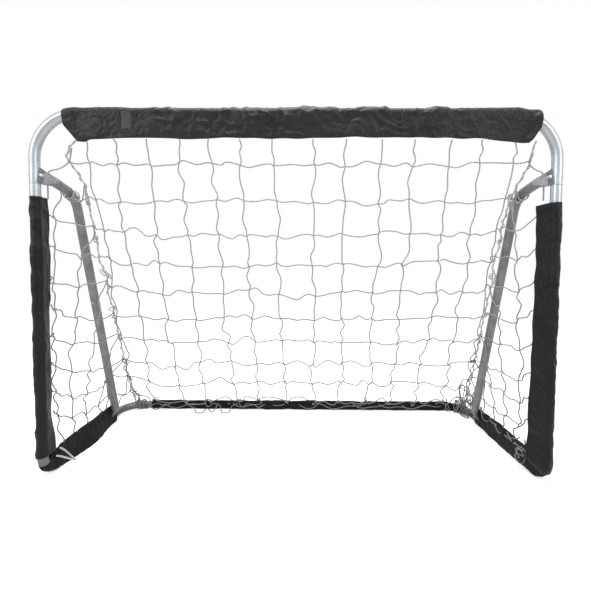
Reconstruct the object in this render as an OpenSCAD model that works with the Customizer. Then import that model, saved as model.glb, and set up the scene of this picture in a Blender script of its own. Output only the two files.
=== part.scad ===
// Portable tube goal: plug-together steel frame, bent rear struts, fabric sleeves and a cord net.
// The mouth faces -Y, +X is to the right and the ground is z = 0, all in millimetres.

/* [Goal] */
// Width over the two sleeved posts
goal_w = 2130; // [1800:10:2600]
// Height from the ground to the top of the sleeved crossbar
goal_h = 1520; // [1200:10:1900]
// Depth at the ground, from the front of the sleeves to the back of the lashings
goal_d = 764; // [724:10:1004]

/* [Frame tubes] */
// Outer diameter of every frame and strut tube
tube_od = 40; // [38:0.5:50]
// Wall of the tubes
tube_wall = 1.2; // [1:0.1:2]
// Bend radius of the two top corners, at the middle of the tube
top_bend_r = 180; // [140:5:220]
// Bend radius of the two front elbows
elbow_bend_r = 80; // [70:2:100]
// Bend radius of the two rear corners
rear_bend_r = 115; // [90:5:140]
// Length of the straight middle tubes of the crossbar and the rear bar
middle_tube_l = 860; // [600:10:1000]
// Drop from the top of the goal to the joint in each post
post_joint_drop = 300; // [270:5:340]
// Height of the joint between each elbow and its post
elbow_joint_h = 260; // [200:5:320]
// Distance from the post axis to the joint in each side bar
side_joint_y = 400; // [300:5:420]
// Length of the reduced plug at each joint
plug_l = 70; // [50:1:90]
// Gap all round a plug in its socket
plug_gap = 0.3; // [0.1:0.05:0.6]

/* [Struts] */
// Distance from the post axis to the virtual corner of the bend
strut_reach = 191; // [160:1:220]
// Slope of the short arm below the horizontal, in degrees
arm_drop = 14; // [5:1:25]
// Distance from the post axis to the foot bolt
foot_y = 522; // [500:1:540]
// Bend radius of each strut, at the middle of the tube
strut_bend_r = 110; // [90:5:130]
// Length from the virtual corner of the bend to the strut's joint
strut_upper_leg = 555; // [450:5:650]
// Height of the upper bolt above the joint in the post
strut_bolt_up = 33; // [25:1:45]
// Length of the flattened end past the upper bolt
top_plate_tip = 10; // [9:1:14]
// Length of the flattened end past the foot bolt
foot_plate_tip = 12; // [9:1:13]
// Length of the flat from its bolt towards the tube
plate_in = 20; // [16:1:26]
// Length over which the flat grows back to a round tube
plate_blend = 35; // [25:1:50]
// Air between a flattened end and the tube that it is bolted to
plate_gap = 0.1; // [0.05:0.05:0.3]

/* [Bolts] */
// Diameter of the bolt shanks
bolt_d = 8; // [6:1:10]
// Added to the bolt diameter for its holes
bolt_clear = 0.5; // [0.3:0.1:1]
// Diameter of the domed heads
head_d = 16; // [14:1:20]
// Height of the domed heads
head_h = 4.5; // [3:0.5:6]
// Width across the flats of the nuts
nut_af = 13; // [12:1:16]
// Height of the nuts
nut_h = 6.5; // [5:0.5:9]
// Outer diameter of the washers
washer_d = 17; // [16:1:22]
// Thickness of the washers
washer_t = 1.6; // [1:0.2:2.4]
// Length of bolt that stands out past the nut
bolt_tip = 4; // [2:1:8]

/* [Spring buttons] */
// Diameter of the buttons that lock the strut joints
button_d = 8; // [6:0.5:10]
// Radial gap between a button and its holes
button_gap = 0.1; // [0.05:0.01:0.1]
// Height of a button above the tube
button_stand = 3; // [2:0.5:4]
// Distance from the strut's joint to the button
button_up = 36; // [28:1:44]
// Width of the spring strip
strip_w = 12; // [10:1:16]
// Thickness of the spring strip
strip_t = 0.8; // [0.6:0.1:1.2]
// Radius of the bend in the spring strip
strip_bend_r = 4; // [3.5:0.5:6]
// Length of each leg of the spring strip
strip_leg = 60; // [56:1:70]
// Distance from the bend of the strip to the button
button_arm = 50; // [46:1:52]

/* [Sleeves] */
// Thickness of the sleeve fabric with its lining
sleeve_wall = 1.7; // [1:0.1:2.5]
// Air between a sleeve and its tube
sleeve_gap = 0.3; // [0.2:0.05:0.6]
// Distance from the crossbar axis to the lower edge of its sleeve
bar_flap = 96; // [70:1:105]
// Turn of the crossbar sleeve round the left corner, in degrees
bar_wrap_left = 19; // [10:1:30]
// Turn of the crossbar sleeve round the right corner, in degrees
bar_wrap_right = 38; // [20:1:44]
// Distance from the post axis to the free edge of its sleeve
post_flap = 66; // [60:1:90]
// Turn of the left post flap from inwards to backwards, in degrees
post_turn_left = 88; // [84:1:92]
// Turn of the right post flap from inwards to backwards, in degrees
post_turn_right = 60; // [20:1:62]
// Distance from the post joint down to the top of the left post sleeve
post_sleeve_drop_left = 47; // [40:1:80]
// Distance from the post joint down to the top of the right post sleeve
post_sleeve_drop_right = 68; // [40:1:90]
// Distance from the side bar axis to the free edge of its sleeve
side_flap = 88; // [70:1:95]
// Lean of the side bar flaps towards the inside, in degrees
side_lean = 15; // [0:1:25]
// Distance from the post axis to the rear end of the side bar sleeves
side_sleeve_end = 470; // [420:5:478]
// Turn of the side bar sleeves up round the elbows, in degrees
elbow_wrap = 62; // [20:1:75]
// Distance from the rear bar axis to the free edge of its sleeve
rear_flap = 36; // [30:1:44]
// Length of bare tube before the left rear bend
rear_bare_left = 40; // [30:5:120]
// Length of bare tube before the right rear bend
rear_bare_right = 30; // [28:1:120]
// Half the thickness of a flap at its free edge
flap_tip = 2.5; // [2:0.5:4]
// Depth of the flat that the ground presses into the sleeves
foot_flat = 0.5; // [0.3:0.1:1]

/* [Net] */
// Width of the net's cords
net_cord = 5; // [3:0.5:7]
// Number of cells across the back
back_cols = 15; // [10:1:18]
// Number of cells down the back
back_rows = 11; // [8:1:13]
// Height of the cells in the side panels
side_cell_h = 137; // [110:1:160]
// Width of the cells in the side panels
side_cell_w = 125; // [110:1:160]
// Half the width of the back panel at the top
back_top_half = 865; // [840:5:880]
// Half the width of the back panel at the bottom
back_low_half = 940; // [900:5:945]
// Diameter of the seam cords
seam_d = 9; // [6:0.5:10]
// Diameter of the tie cords
tie_d = 5; // [4:0.5:6]
// Air between a soft piece and what it hangs on
seat = 0.3; // [0.2:0.05:0.5]

/* [Hidden] */
$fn = 48;
tube_r = tube_od / 2;
bore_r = tube_r - tube_wall;
plug_r = bore_r - plug_gap;
plug_bore_r = plug_r - tube_wall;
sleeve_in_r = tube_r + sleeve_gap;
sleeve_r = sleeve_in_r + sleeve_wall;
shoulder = 2 * tube_wall;          // length over which a tube steps down to its plug
lap = 1;                           // overlap that joins two shapes of one solid
bend_ease = 0.05;                  // growth of a tube's radius in its bends
wall_ease = 0.08;                  // setback of a sleeve's wall round an elbow
knot_extra = 1;                    // growth of a cord at its knots
past = 2;                          // run of a cut past the face that it opens

post_x = goal_w / 2 - sleeve_r;
post_y = sleeve_r - goal_d / 2;
rear_y = goal_d / 2 - tube_r - seat - tie_d;
base_z = sleeve_r - foot_flat;
bar_z = goal_h - sleeve_r;
post_joint_z = goal_h - post_joint_drop;
base_run = rear_y - post_y;

// Strut line in the plane x = strut_x, measured back from the post axis
plate_t = 2 * tube_wall;
plate_w = PI / 2 * (tube_od - tube_wall);
plate_step = 0.1;                  // thin slice that the blend to the round tube starts from
strut_x = post_x - tube_r - plate_gap - tube_r;
bolt_z = post_joint_z + strut_bolt_up;
corner_z = bolt_z - strut_reach * tan(arm_drop);
leg_lean = atan2(foot_y - strut_reach, corner_z - base_z);
leg_l = norm([foot_y - strut_reach, corner_z - base_z]);
arm_l = strut_reach / cos(arm_drop);
strut_bend = 90 - arm_drop - leg_lean;
bend_tangent = strut_bend_r * tan(strut_bend / 2);
lower_run = leg_l - strut_upper_leg - plate_in - plate_blend;

// Spring strip
strip_reach = sqrt(pow(plug_bore_r, 2) - pow(strip_w / 2, 2)) - strip_t / 2 - seat;
strip_lean = asin((strip_reach - strip_bend_r) / strip_leg);

// Back panel line in the plane x = 0, measured back from the post axis
net_room = 1.5;                    // spare air where the leaning panel nears a sleeve's edge
net_top_z = bar_z - bar_flap - seat - net_room;
net_low_out = rear_flap + seat + net_room;
net_low_y = base_run - net_low_out * cos(45);
net_low_z = base_z + net_low_out * sin(45);
back_l = norm([net_low_y, net_top_z - net_low_z]);
back_lean = atan2(net_low_y, net_top_z - net_low_z);
function back_y(z) = (net_top_z - z) * tan(back_lean);
side_x = strut_x + tube_r + seat + net_cord / 2;
side_flap_z = base_z + side_flap * cos(side_lean) + flap_tip;

module galvanised() { color("silver") children(); }
module strut_paint() { color("dimgray") children(); }
module zinc() { color("lightgray") children(); }
module sleeve_fabric() { color([0.15, 0.15, 0.16]) children(); }
module cord_white() { color("whitesmoke") children(); }

// The right-hand shape as it is for side = 1, mirrored for side = -1
module on_side(side) { if (side > 0) children(); else mirror([1, 0, 0]) children(); }

// ---- Sweeps: a run starts at the origin along +Z and bends towards +Y ----

module arc_sweep(bend_r, angle) {
    translate([0, bend_r, 0]) rotate([90, 0, -90])
        rotate_extrude(angle = angle) translate([bend_r, 0]) children();
}

module bend_end(bend_r, angle) {
    translate([0, bend_r, 0]) rotate([-angle, 0, 0]) translate([0, -bend_r, 0]) children();
}

// The bend is a hair thicker than the straights, whose ends run into it
module round_run(first, bend_r, angle, last, r) {
    cylinder(h = first + lap / 2, r = r);
    translate([0, 0, first]) {
        arc_sweep(bend_r, angle) circle(r + bend_ease);
        bend_end(bend_r, angle) translate([0, 0, -lap / 2]) cylinder(h = last + lap / 2, r = r);
    }
}

// Reduced plug that stands back from the start of a run
module plug_solid() { translate([0, 0, -plug_l]) cylinder(h = plug_l + lap, r = plug_r); }
module plug_bore() {
    translate([0, 0, -plug_l - past]) cylinder(h = plug_l + past + shoulder, r = plug_bore_r);
}

// Hollow bent tube, with a plug at its start and, if last_plug, another at its end
module bent_tube(first, bend_r, angle, last, last_plug) {
    open_end = last_plug ? -shoulder : past;
    difference() {
        union() {
            round_run(first, bend_r, angle, last, tube_r);
            plug_solid();
            if (last_plug) translate([0, 0, first]) bend_end(bend_r, angle)
                translate([0, 0, last]) mirror([0, 0, 1]) plug_solid();
        }
        translate([0, 0, shoulder - lap])
            round_run(first - shoulder + lap, bend_r, angle, last + open_end, bore_r);
        plug_bore();
        if (last_plug) translate([0, 0, first]) bend_end(bend_r, angle)
            translate([0, 0, last]) mirror([0, 0, 1]) plug_bore();
    }
}

module straight_tube(length) {
    difference() {
        cylinder(h = length, r = tube_r);
        translate([0, 0, -past]) cylinder(h = length + 2 * past, r = bore_r);
    }
}

// Hole for a bolt along X, through everything near its axis
module bolt_hole() { rotate([0, 90, 0]) cylinder(h = 3 * tube_od, d = bolt_d + bolt_clear, center = true); }

module at_top_bolt() { translate([post_x, post_y, bolt_z]) children(); }
module at_foot_bolt() { translate([post_x, post_y + foot_y, base_z]) children(); }

// ---- Frame tubes ----

module middle_tube(y, z) {
    galvanised() translate([-middle_tube_l / 2, y, z]) rotate([0, 90, 0]) straight_tube(middle_tube_l);
}

module top_corner_tube(side) {
    galvanised() on_side(side) difference() {
        translate([post_x, post_y, post_joint_z]) rotate([0, 0, 90])
            bent_tube(bar_z - top_bend_r - post_joint_z, top_bend_r, 90,
                      post_x - top_bend_r - middle_tube_l / 2, true);
        at_top_bolt() bolt_hole();
    }
}

module post_tube(side) {
    galvanised() on_side(side) translate([post_x, post_y, elbow_joint_h])
        straight_tube(post_joint_z - elbow_joint_h);
}

module front_elbow_tube(side) {
    galvanised() on_side(side) translate([post_x, post_y, elbow_joint_h]) rotate([0, 180, 0])
        bent_tube(elbow_joint_h - base_z - elbow_bend_r, elbow_bend_r, 90,
                  side_joint_y - elbow_bend_r, false);
}

module rear_corner_tube(side) {
    galvanised() on_side(side) difference() {
        translate([post_x, post_y + side_joint_y, base_z]) rotate([-90, 90, 0])
            bent_tube(base_run - rear_bend_r - side_joint_y, rear_bend_r, 90,
                      post_x - rear_bend_r - middle_tube_l / 2, true);
        at_foot_bolt() bolt_hole();
    }
}

// ---- Struts ----

// Flattened end about the bolt axis, pressed to the outer side (+X) of the tube that it blends into
module flattened_end(tip) {
    translate([tube_r - plate_t, -plate_w / 2, -tip]) cube([plate_t, plate_w, tip + plate_in]);
    hull() {
        translate([tube_r - plate_t, -plate_w / 2, plate_in - plate_step])
            cube([plate_t, plate_w, plate_step]);
        translate([0, 0, plate_in + plate_blend]) cylinder(h = lap, r = tube_r - plate_step, $fn = 32);
    }
}

module arm_frame() {
    translate([strut_x, post_y, bolt_z]) rotate([-90 - arm_drop, 0, 0]) children();
}

// Frame at a distance along the leg from the virtual corner, with +Z down the leg and +Y to the front
module leg_frame(along) {
    translate([strut_x, post_y + strut_reach, corner_z]) rotate([180 + leg_lean, 0, 0])
        translate([0, 0, along]) children();
}

module button_hole(from_joint) {
    translate([0, 0, from_joint]) rotate([-90, 0, 0])
        cylinder(h = tube_od, r = button_d / 2 + button_gap);
}

module strut_upper(side) {
    start = plate_in + plate_blend;
    first = arm_l - bend_tangent - start;
    last = strut_upper_leg - bend_tangent;
    strut_paint() on_side(side) difference() {
        arm_frame() {
            flattened_end(top_plate_tip);
            translate([0, 0, start]) round_run(first, strut_bend_r, strut_bend, last, tube_r);
        }
        arm_frame() translate([0, 0, start + shoulder])
            round_run(first - shoulder, strut_bend_r, strut_bend, last + past, bore_r);
        at_top_bolt() bolt_hole();
        leg_frame(strut_upper_leg) button_hole(-button_up);
    }
}

module strut_lower(side) {
    strut_paint() on_side(side) difference() {
        union() {
            leg_frame(strut_upper_leg) {
                plug_solid();
                cylinder(h = lower_run, r = tube_r);
            }
            leg_frame(leg_l) mirror([0, 0, 1]) flattened_end(foot_plate_tip);
        }
        leg_frame(strut_upper_leg) {
            plug_bore();
            translate([0, 0, shoulder - lap]) cylinder(h = lower_run - 2 * shoulder, r = bore_r);
            button_hole(-button_up);
        }
        at_foot_bolt() bolt_hole();
    }
}

// ---- Bolts: along X, from the outer face of the tube through the flattened end ----

nut_face = tube_od + plate_gap + plate_t;         // from the tube's outer face to the washer
bolt_l = nut_face + washer_t + nut_h + bolt_tip;
head_ball_r = (pow(head_d / 2, 2) + pow(head_h, 2)) / (2 * head_h);

// Shapes below start on the tube's outer face and run inwards along their own +Z
module bolt_frame() { translate([tube_r, 0, 0]) rotate([0, -90, 0]) children(); }

module bolt() {
    cylinder(h = bolt_l, d = bolt_d);
    mirror([0, 0, 1]) rotate_extrude() intersection() {
        translate([0, head_h - head_ball_r]) circle(head_ball_r, $fn = 96);
        square([head_d / 2, head_h]);
    }
}

module washer() {
    translate([0, 0, nut_face]) difference() {
        cylinder(h = washer_t, d = washer_d);
        translate([0, 0, -past]) cylinder(h = washer_t + 2 * past, d = bolt_d + bolt_clear);
    }
}

module nut() {
    translate([0, 0, nut_face + washer_t]) difference() {
        cylinder(h = nut_h, d = nut_af / cos(30), $fn = 6);
        translate([0, 0, -past]) cylinder(h = nut_h + 2 * past, d = bolt_d + 2 * button_gap);
    }
}

module strut_top_bolts() { zinc() for (side = [-1, 1]) on_side(side) at_top_bolt() bolt_frame() bolt(); }
module strut_foot_bolts() { zinc() for (side = [-1, 1]) on_side(side) at_foot_bolt() bolt_frame() bolt(); }

module bolt_washers() {
    zinc() for (side = [-1, 1]) on_side(side) {
        at_top_bolt() bolt_frame() washer();
        at_foot_bolt() bolt_frame() washer();
    }
}

module bolt_nuts() {
    zinc() for (side = [-1, 1]) on_side(side) {
        at_top_bolt() bolt_frame() nut();
        at_foot_bolt() bolt_frame() nut();
    }
}

// ---- Spring clips: a strip bent double inside the plug, with the button on its front leg ----

// Frame at the bend of the strip, with +Z up the leg and +Y to the front
module clip_frame() {
    leg_frame(strut_upper_leg - button_up + button_arm) mirror([0, 0, 1]) children();
}

// A shape drawn in Y and Z, as wide as the strip
module strip_shape() {
    translate([-strip_w / 2, 0, 0]) rotate([90, 0, 90]) linear_extrude(strip_w) children();
}

module strip_leg_outline(front, start) {
    translate([front * strip_bend_r, start]) rotate(-front * strip_lean)
        translate([-strip_t / 2, 0]) square([strip_t, strip_leg - start]);
}

module spring_clip(side) {
    zinc() on_side(side) clip_frame() strip_shape() {
        difference() {
            circle(strip_bend_r + strip_t / 2);
            circle(strip_bend_r - strip_t / 2);
            translate([-2 * strip_bend_r, 0]) square([4 * strip_bend_r, 2 * strip_bend_r]);
        }
        translate([0, -strip_t / 4]) strip_leg_outline(-1, 0);
    }
}

module spring_button(side) {
    button_tip = 1;
    button_y = strip_bend_r + button_arm * tan(strip_lean);
    button_l = tube_r + button_stand - button_y;
    zinc() on_side(side) clip_frame() {
        strip_shape() strip_leg_outline(1, seat);
        translate([0, button_y, button_arm]) rotate([-90, 0, 0]) {
            cylinder(h = button_l - button_tip, d = button_d);
            translate([0, 0, button_l - button_tip])
                cylinder(h = button_tip, d1 = button_d, d2 = button_d - 2 * button_tip);
        }
    }
}

// ---- Sleeves: a drop-shaped outline about the tube axis with its flap towards -Y ----

module drop_outline(r, flap, tip) {
    touch = acos((r - tip) / flap);
    circle(r);
    polygon([[0, 0], [-r * sin(touch), -r * cos(touch)], [-tip, -flap], [tip, -flap],
             [r * sin(touch), -r * cos(touch)]]);
}

module sleeve_outline(flap) {
    difference() {
        drop_outline(sleeve_r, flap, flap_tip);
        drop_outline(sleeve_in_r, flap - 2 * sleeve_wall, flap_tip - sleeve_wall);
    }
}

// The same outline turned by an angle and cut flat where the ground is
module grounded_outline(flap, turn) {
    difference() {
        rotate(turn) sleeve_outline(flap);
        translate([-goal_d, -base_z - goal_d]) square([2 * goal_d, goal_d]);
    }
}

module crossbar_sleeve() {
    straight = post_x - top_bend_r;
    sleeve_fabric() translate([0, post_y, bar_z]) {
        translate([-straight, 0, 0]) rotate([90, 0, 90])
            linear_extrude(2 * straight) sleeve_outline(bar_flap);
        for (end = [[1, bar_wrap_right], [-1, bar_wrap_left]]) on_side(end[0])
            translate([straight, 0, 0]) rotate([-90, 0, 0]) rotate([0, 90, 0])
                arc_sweep(top_bend_r, end[1]) rotate(-90) sleeve_outline(bar_flap);
    }
}

module post_sleeve(side, turn, top_drop) {
    low = max(side_flap_z + seat, base_z + elbow_bend_r);
    sleeve_fabric() on_side(side) translate([post_x, post_y, low])
        linear_extrude(post_joint_z - top_drop - low) rotate(270 - turn) sleeve_outline(post_flap);
}

// Wall of a side bar sleeve round its elbow, set just inside the wall that it grows out of
module elbow_ring() {
    difference() {
        circle(sleeve_r - wall_ease);
        circle(sleeve_in_r + wall_ease);
    }
}

module side_bar_sleeve(side) {
    sleeve_fabric() on_side(side) translate([post_x, post_y, base_z]) {
        translate([0, side_sleeve_end, 0]) rotate([90, 0, 0])
            linear_extrude(side_sleeve_end - elbow_bend_r) grounded_outline(side_flap, 180 + side_lean);
        difference() {
            translate([0, elbow_bend_r, 0]) rotate([90, 0, 0]) {
                translate([0, 0, -lap]) linear_extrude(lap) elbow_ring();
                arc_sweep(elbow_bend_r, elbow_wrap) elbow_ring();
            }
            translate([-tube_od, -tube_od, -base_z - tube_od]) cube([2 * tube_od, 4 * tube_od, tube_od]);
        }
    }
}

module rear_bar_sleeve() {
    straight = post_x - rear_bend_r;
    sleeve_fabric() translate([rear_bare_left - straight, rear_y, base_z]) rotate([90, 0, 90])
        linear_extrude(2 * straight - rear_bare_left - rear_bare_right) grounded_outline(rear_flap, 225);
}

// ---- Net panels ----

// Straight cord in the plane of a panel, from one point to another
module flat_cord(from, to) {
    run = to - from;
    translate(from) rotate(atan2(run[1], run[0])) translate([-net_cord / 2, -net_cord / 2])
        square([norm(run) + net_cord, net_cord]);
}

module back_net() {
    function edge(v) = back_low_half + (back_top_half - back_low_half) * v / back_l;
    low = net_cord / 2;
    high = back_l - net_cord / 2;
    cord_white() translate([0, post_y + net_low_y, net_low_z]) rotate([90 + back_lean, 0, 0])
        translate([0, 0, -net_cord / 2]) linear_extrude(net_cord) {
            for (col = [0:back_cols]) {
                share = 2 * col / back_cols - 1;
                flat_cord([share * edge(low), low], [share * edge(high), high]);
            }
            for (row = [0:back_rows]) {
                v = low + (high - low) * row / back_rows;
                flat_cord([-edge(v), v], [edge(v), v]);
            }
        }
}

// Distance from the post axis to a side panel's front edge, just clear of the flap of the post's sleeve.
// The panel starts behind the flap, or beside it if the flap is turned back past the panel.
function net_front(turn) =
    let (half = asin((sleeve_r - flap_tip) / post_flap), near = post_x - side_x - net_cord / 2)
    seat + net_cord / 2 + (
        post_flap * cos(turn) + flap_tip < near
            ? (near * sin(turn + half) - sleeve_r) / cos(turn + half)
            : (sleeve_r + (near + net_cord) * sin(turn - half)) / cos(turn - half));

module side_net(side, turn, top_drop) {
    front = net_front(turn);
    low = side_flap_z + seat + net_cord / 2;
    rear_low = base_z + tube_r + seat + net_cord / 2;
    brow_low = post_joint_z - top_drop;
    brow_run = (back_y(post_joint_z) - front) / top_drop;
    step_y = side_sleeve_end + plate_w / 4;
    rear = back_y(rear_low) - net_cord;
    outline = [[front, low], [front, brow_low], [back_y(post_joint_z), post_joint_z],
               [rear, rear_low], [step_y, rear_low], [step_y, low]];
    function foot_z(y) = y < step_y ? low : rear_low;
    function head_z(y) =
        y < back_y(post_joint_z) ? brow_low + (y - front) / brow_run : net_top_z - y / tan(back_lean);
    function front_y(z) = front + max(0, z - brow_low) * brow_run;
    cord_white() on_side(side) translate([side_x - net_cord / 2, post_y, 0]) rotate([90, 0, 90])
        linear_extrude(net_cord) {
            for (y = [front + side_cell_w:side_cell_w:rear - 2 * net_cord])
                flat_cord([y, foot_z(y)], [y, head_z(y)]);
            for (z = [low + side_cell_h:side_cell_h:post_joint_z - 2 * net_cord])
                flat_cord([front_y(z), z], [back_y(z), z]);
            for (i = [0:len(outline) - 1]) flat_cord(outline[i], outline[(i + 1) % len(outline)]);
        }
}

// ---- Cords, each a chain of straight round lengths with a knot where two meet ----

module cord_length(from, to, d) {
    run = to - from;
    translate(from) rotate([0, acos(run[2] / norm(run)), atan2(run[1], run[0])])
        cylinder(h = norm(run), d = d);
}

module cord_chain(points, d) {
    for (i = [0:len(points) - 2]) cord_length(points[i], points[i + 1], d);
    for (i = [1:len(points) - 2]) translate(points[i]) sphere(d = d + knot_extra);
}

// Place on the seam of the back panel at a height, outside the panel's edge
function seam_point(z) =
    let (v = (z - net_low_z) / (net_top_z - net_low_z))
    [back_low_half + (back_top_half - back_low_half) * v + net_cord / 2 + seam_d / 2 + seat,
     post_y + back_y(z), z];

seam_top_z = net_top_z - seam_d;
seam_low_z = net_low_z + seam_d;

module back_seam_cord(side) {
    cord_white() on_side(side) cord_length(seam_point(seam_low_z), seam_point(seam_top_z), seam_d);
}

module side_top_cord(side, turn, top_drop) {
    top = seam_point(seam_top_z);
    over_arm = bolt_z + tube_r;
    outside = strut_x + tube_r + tie_d / 2 + seat;
    cord_white() on_side(side) cord_chain([
        top + [(seam_d + tie_d) / 2 + seat, 0, 0],
        [outside, post_y + strut_reach / 3, over_arm],
        [outside, post_y + net_front(turn), post_joint_z - top_drop + net_cord + tie_d]
    ], tie_d);
}

module strut_tie(side) {
    along = arm_l - bend_tangent - tie_d;
    ring_r = tube_r + tie_d / 2 + seat;
    knot = [strut_x - ring_r * cos(45), post_y + along * cos(arm_drop) + ring_r * sin(45) * sin(arm_drop),
            bolt_z - along * sin(arm_drop) + ring_r * sin(45) * cos(arm_drop)];
    seam_end = seam_point(knot[2]) + [(seam_d + tie_d) / 2 + seat, 0, 0];
    cord_white() on_side(side) {
        arm_frame() translate([0, 0, along]) rotate_extrude() translate([ring_r, 0]) circle(d = tie_d);
        cord_length(knot, seam_end, tie_d);
    }
}

// Turns of cord round the rear bar next to its bend
module rear_lashing(side) {
    turns = 4;
    ring_r = tube_r + tie_d / 2 + seat;
    first_x = post_x - rear_bend_r - turns * (tie_d + seat);
    cord_white() on_side(side) difference() {
        for (i = [0:turns - 1]) translate([first_x + i * (tie_d + seat), rear_y, base_z])
            rotate([0, 90, 0]) rotate_extrude() translate([ring_r, 0]) circle(d = tie_d);
        translate([0, rear_y - goal_d / 2, -goal_d]) cube([goal_w, goal_d, goal_d]);
    }
}

// Corners of the front tie: run back from the elbow, and height over the bar's axis
front_tie_corners = [[2 * tie_d, 0.8 * side_flap], [7 * tie_d, 0.85 * side_flap], [13 * tie_d, 0],
                     [2 * tie_d, 0.4 * side_flap]];

// Cord tied round the front end of the side bar sleeve, seen on its inner face
module front_tie(side) {
    slope = side_lean - asin((sleeve_r - flap_tip) / side_flap);
    function on_flap(y, up) =
        [post_x - (sleeve_r + up * sin(slope)) / cos(slope) - (tie_d + knot_extra) / 2 - seat,
         post_y + elbow_bend_r + y, base_z + up];
    cord_white() on_side(side)
        cord_chain([for (corner = front_tie_corners) on_flap(corner[0], corner[1])], tie_d);
}

middle_tube(post_y, bar_z);  // crossbar_middle_tube
top_corner_tube(-1);  // top_corner_tube_left
top_corner_tube(1);  // top_corner_tube_right
post_tube(-1);  // post_tube_left
post_tube(1);  // post_tube_right
front_elbow_tube(-1);  // front_elbow_tube_left
front_elbow_tube(1);  // front_elbow_tube_right
rear_corner_tube(-1);  // rear_corner_tube_left
rear_corner_tube(1);  // rear_corner_tube_right
middle_tube(rear_y, base_z);  // rear_bar_middle_tube
strut_upper(-1);  // strut_upper_left
strut_upper(1);  // strut_upper_right
strut_lower(-1);  // strut_lower_left
strut_lower(1);  // strut_lower_right
strut_top_bolts();
strut_foot_bolts();
bolt_washers();
bolt_nuts();
spring_clip(-1);  // spring_clip_left
spring_clip(1);  // spring_clip_right
spring_button(-1);  // spring_button_left
spring_button(1);  // spring_button_right
crossbar_sleeve();
post_sleeve(-1, post_turn_left, post_sleeve_drop_left);  // post_sleeve_left
post_sleeve(1, post_turn_right, post_sleeve_drop_right);  // post_sleeve_right
side_bar_sleeve(-1);  // side_bar_sleeve_left
side_bar_sleeve(1);  // side_bar_sleeve_right
rear_bar_sleeve();
back_net();
side_net(-1, post_turn_left, post_sleeve_drop_left);  // side_net_left
side_net(1, post_turn_right, post_sleeve_drop_right);  // side_net_right
back_seam_cord(-1);  // back_seam_cord_left
back_seam_cord(1);  // back_seam_cord_right
side_top_cord(-1, post_turn_left, post_sleeve_drop_left);  // side_top_cord_left
side_top_cord(1, post_turn_right, post_sleeve_drop_right);  // side_top_cord_right
strut_tie(-1);  // strut_tie_left
strut_tie(1);  // strut_tie_right
rear_lashing(-1);  // rear_lashing_left
rear_lashing(1);  // rear_lashing_right
front_tie(-1);  // front_tie_left
front_tie(1);  // front_tie_right
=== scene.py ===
"""Dresses the plug-together tube goal: metal finishes, fabric sleeves, the hung cord net, floor, light and camera."""

import logging
import math
from dataclasses import dataclass, field
from enum import Enum
from typing import Any, Callable, Optional, Sequence

import bpy
import numpy as np
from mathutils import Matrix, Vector


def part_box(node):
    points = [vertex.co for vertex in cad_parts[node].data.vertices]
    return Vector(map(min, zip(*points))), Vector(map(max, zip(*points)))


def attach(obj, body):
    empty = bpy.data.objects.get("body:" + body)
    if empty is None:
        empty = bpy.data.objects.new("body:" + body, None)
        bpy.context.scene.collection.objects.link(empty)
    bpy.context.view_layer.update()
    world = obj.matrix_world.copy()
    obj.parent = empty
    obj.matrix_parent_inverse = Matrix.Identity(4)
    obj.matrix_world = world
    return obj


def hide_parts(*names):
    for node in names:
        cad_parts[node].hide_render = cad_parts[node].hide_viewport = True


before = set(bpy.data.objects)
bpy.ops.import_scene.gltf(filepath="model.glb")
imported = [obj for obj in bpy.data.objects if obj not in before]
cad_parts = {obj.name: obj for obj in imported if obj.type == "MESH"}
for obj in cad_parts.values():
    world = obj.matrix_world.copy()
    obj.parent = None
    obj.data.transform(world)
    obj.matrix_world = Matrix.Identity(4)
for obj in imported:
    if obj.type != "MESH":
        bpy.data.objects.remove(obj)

LOG = logging.getLogger("goal")
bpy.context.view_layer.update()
UP = np.array([0.0, 0.0, 1.0])
MM = 0.001
GRAVITY = 9.81
BEND_POINTS = 9  # points along a strut's bend
SHEET_FLOOR = 0.0002  # lowest that a sleeve's face, and then its shell, may lie
SHELL_FLOOR = 0.0001


class Side(Enum):
    """The goal's two sides, with the sign of X on each."""

    LEFT = -1
    RIGHT = 1

    @property
    def tag(self) -> str:
        """The word for this side in node names."""
        return self.name.lower()


# --- helpers


def linear(hex_colour: str) -> tuple[float, float, float, float]:
    """Turns an sRGB hex colour into linear RGBA.

    Args:
        hex_colour: six hex digits with a leading hash.

    Returns:
        The colour as Blender's sockets take it.
    """
    parts = [int(hex_colour[i : i + 2], 16) / 255 for i in (1, 3, 5)]
    done = [c / 12.92 if c <= 0.04045 else ((c + 0.055) / 1.055) ** 2.4 for c in parts]
    return (done[0], done[1], done[2], 1.0)


def add(tree: Any, kind: str, inputs: Optional[dict] = None, **settings: Any) -> Any:
    """Adds one node to a tree, with its settings and links.

    Args:
        tree: the node tree.
        kind: the node's type name.
        inputs: values or output sockets by input name or index.
        **settings: the node's own properties.

    Returns:
        The new node.
    """
    node = tree.nodes.new(kind)
    for key, value in settings.items():
        setattr(node, key, value)
    for key, value in (inputs or {}).items():
        if isinstance(value, bpy.types.NodeSocket):
            tree.links.new(value, node.inputs[key])
        else:
            node.inputs[key].default_value = value
    return node


def unit(v: np.ndarray) -> np.ndarray:
    """The vectors scaled to length one."""
    return v / np.maximum(np.linalg.norm(v, axis=-1, keepdims=True), 1e-9)


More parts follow.
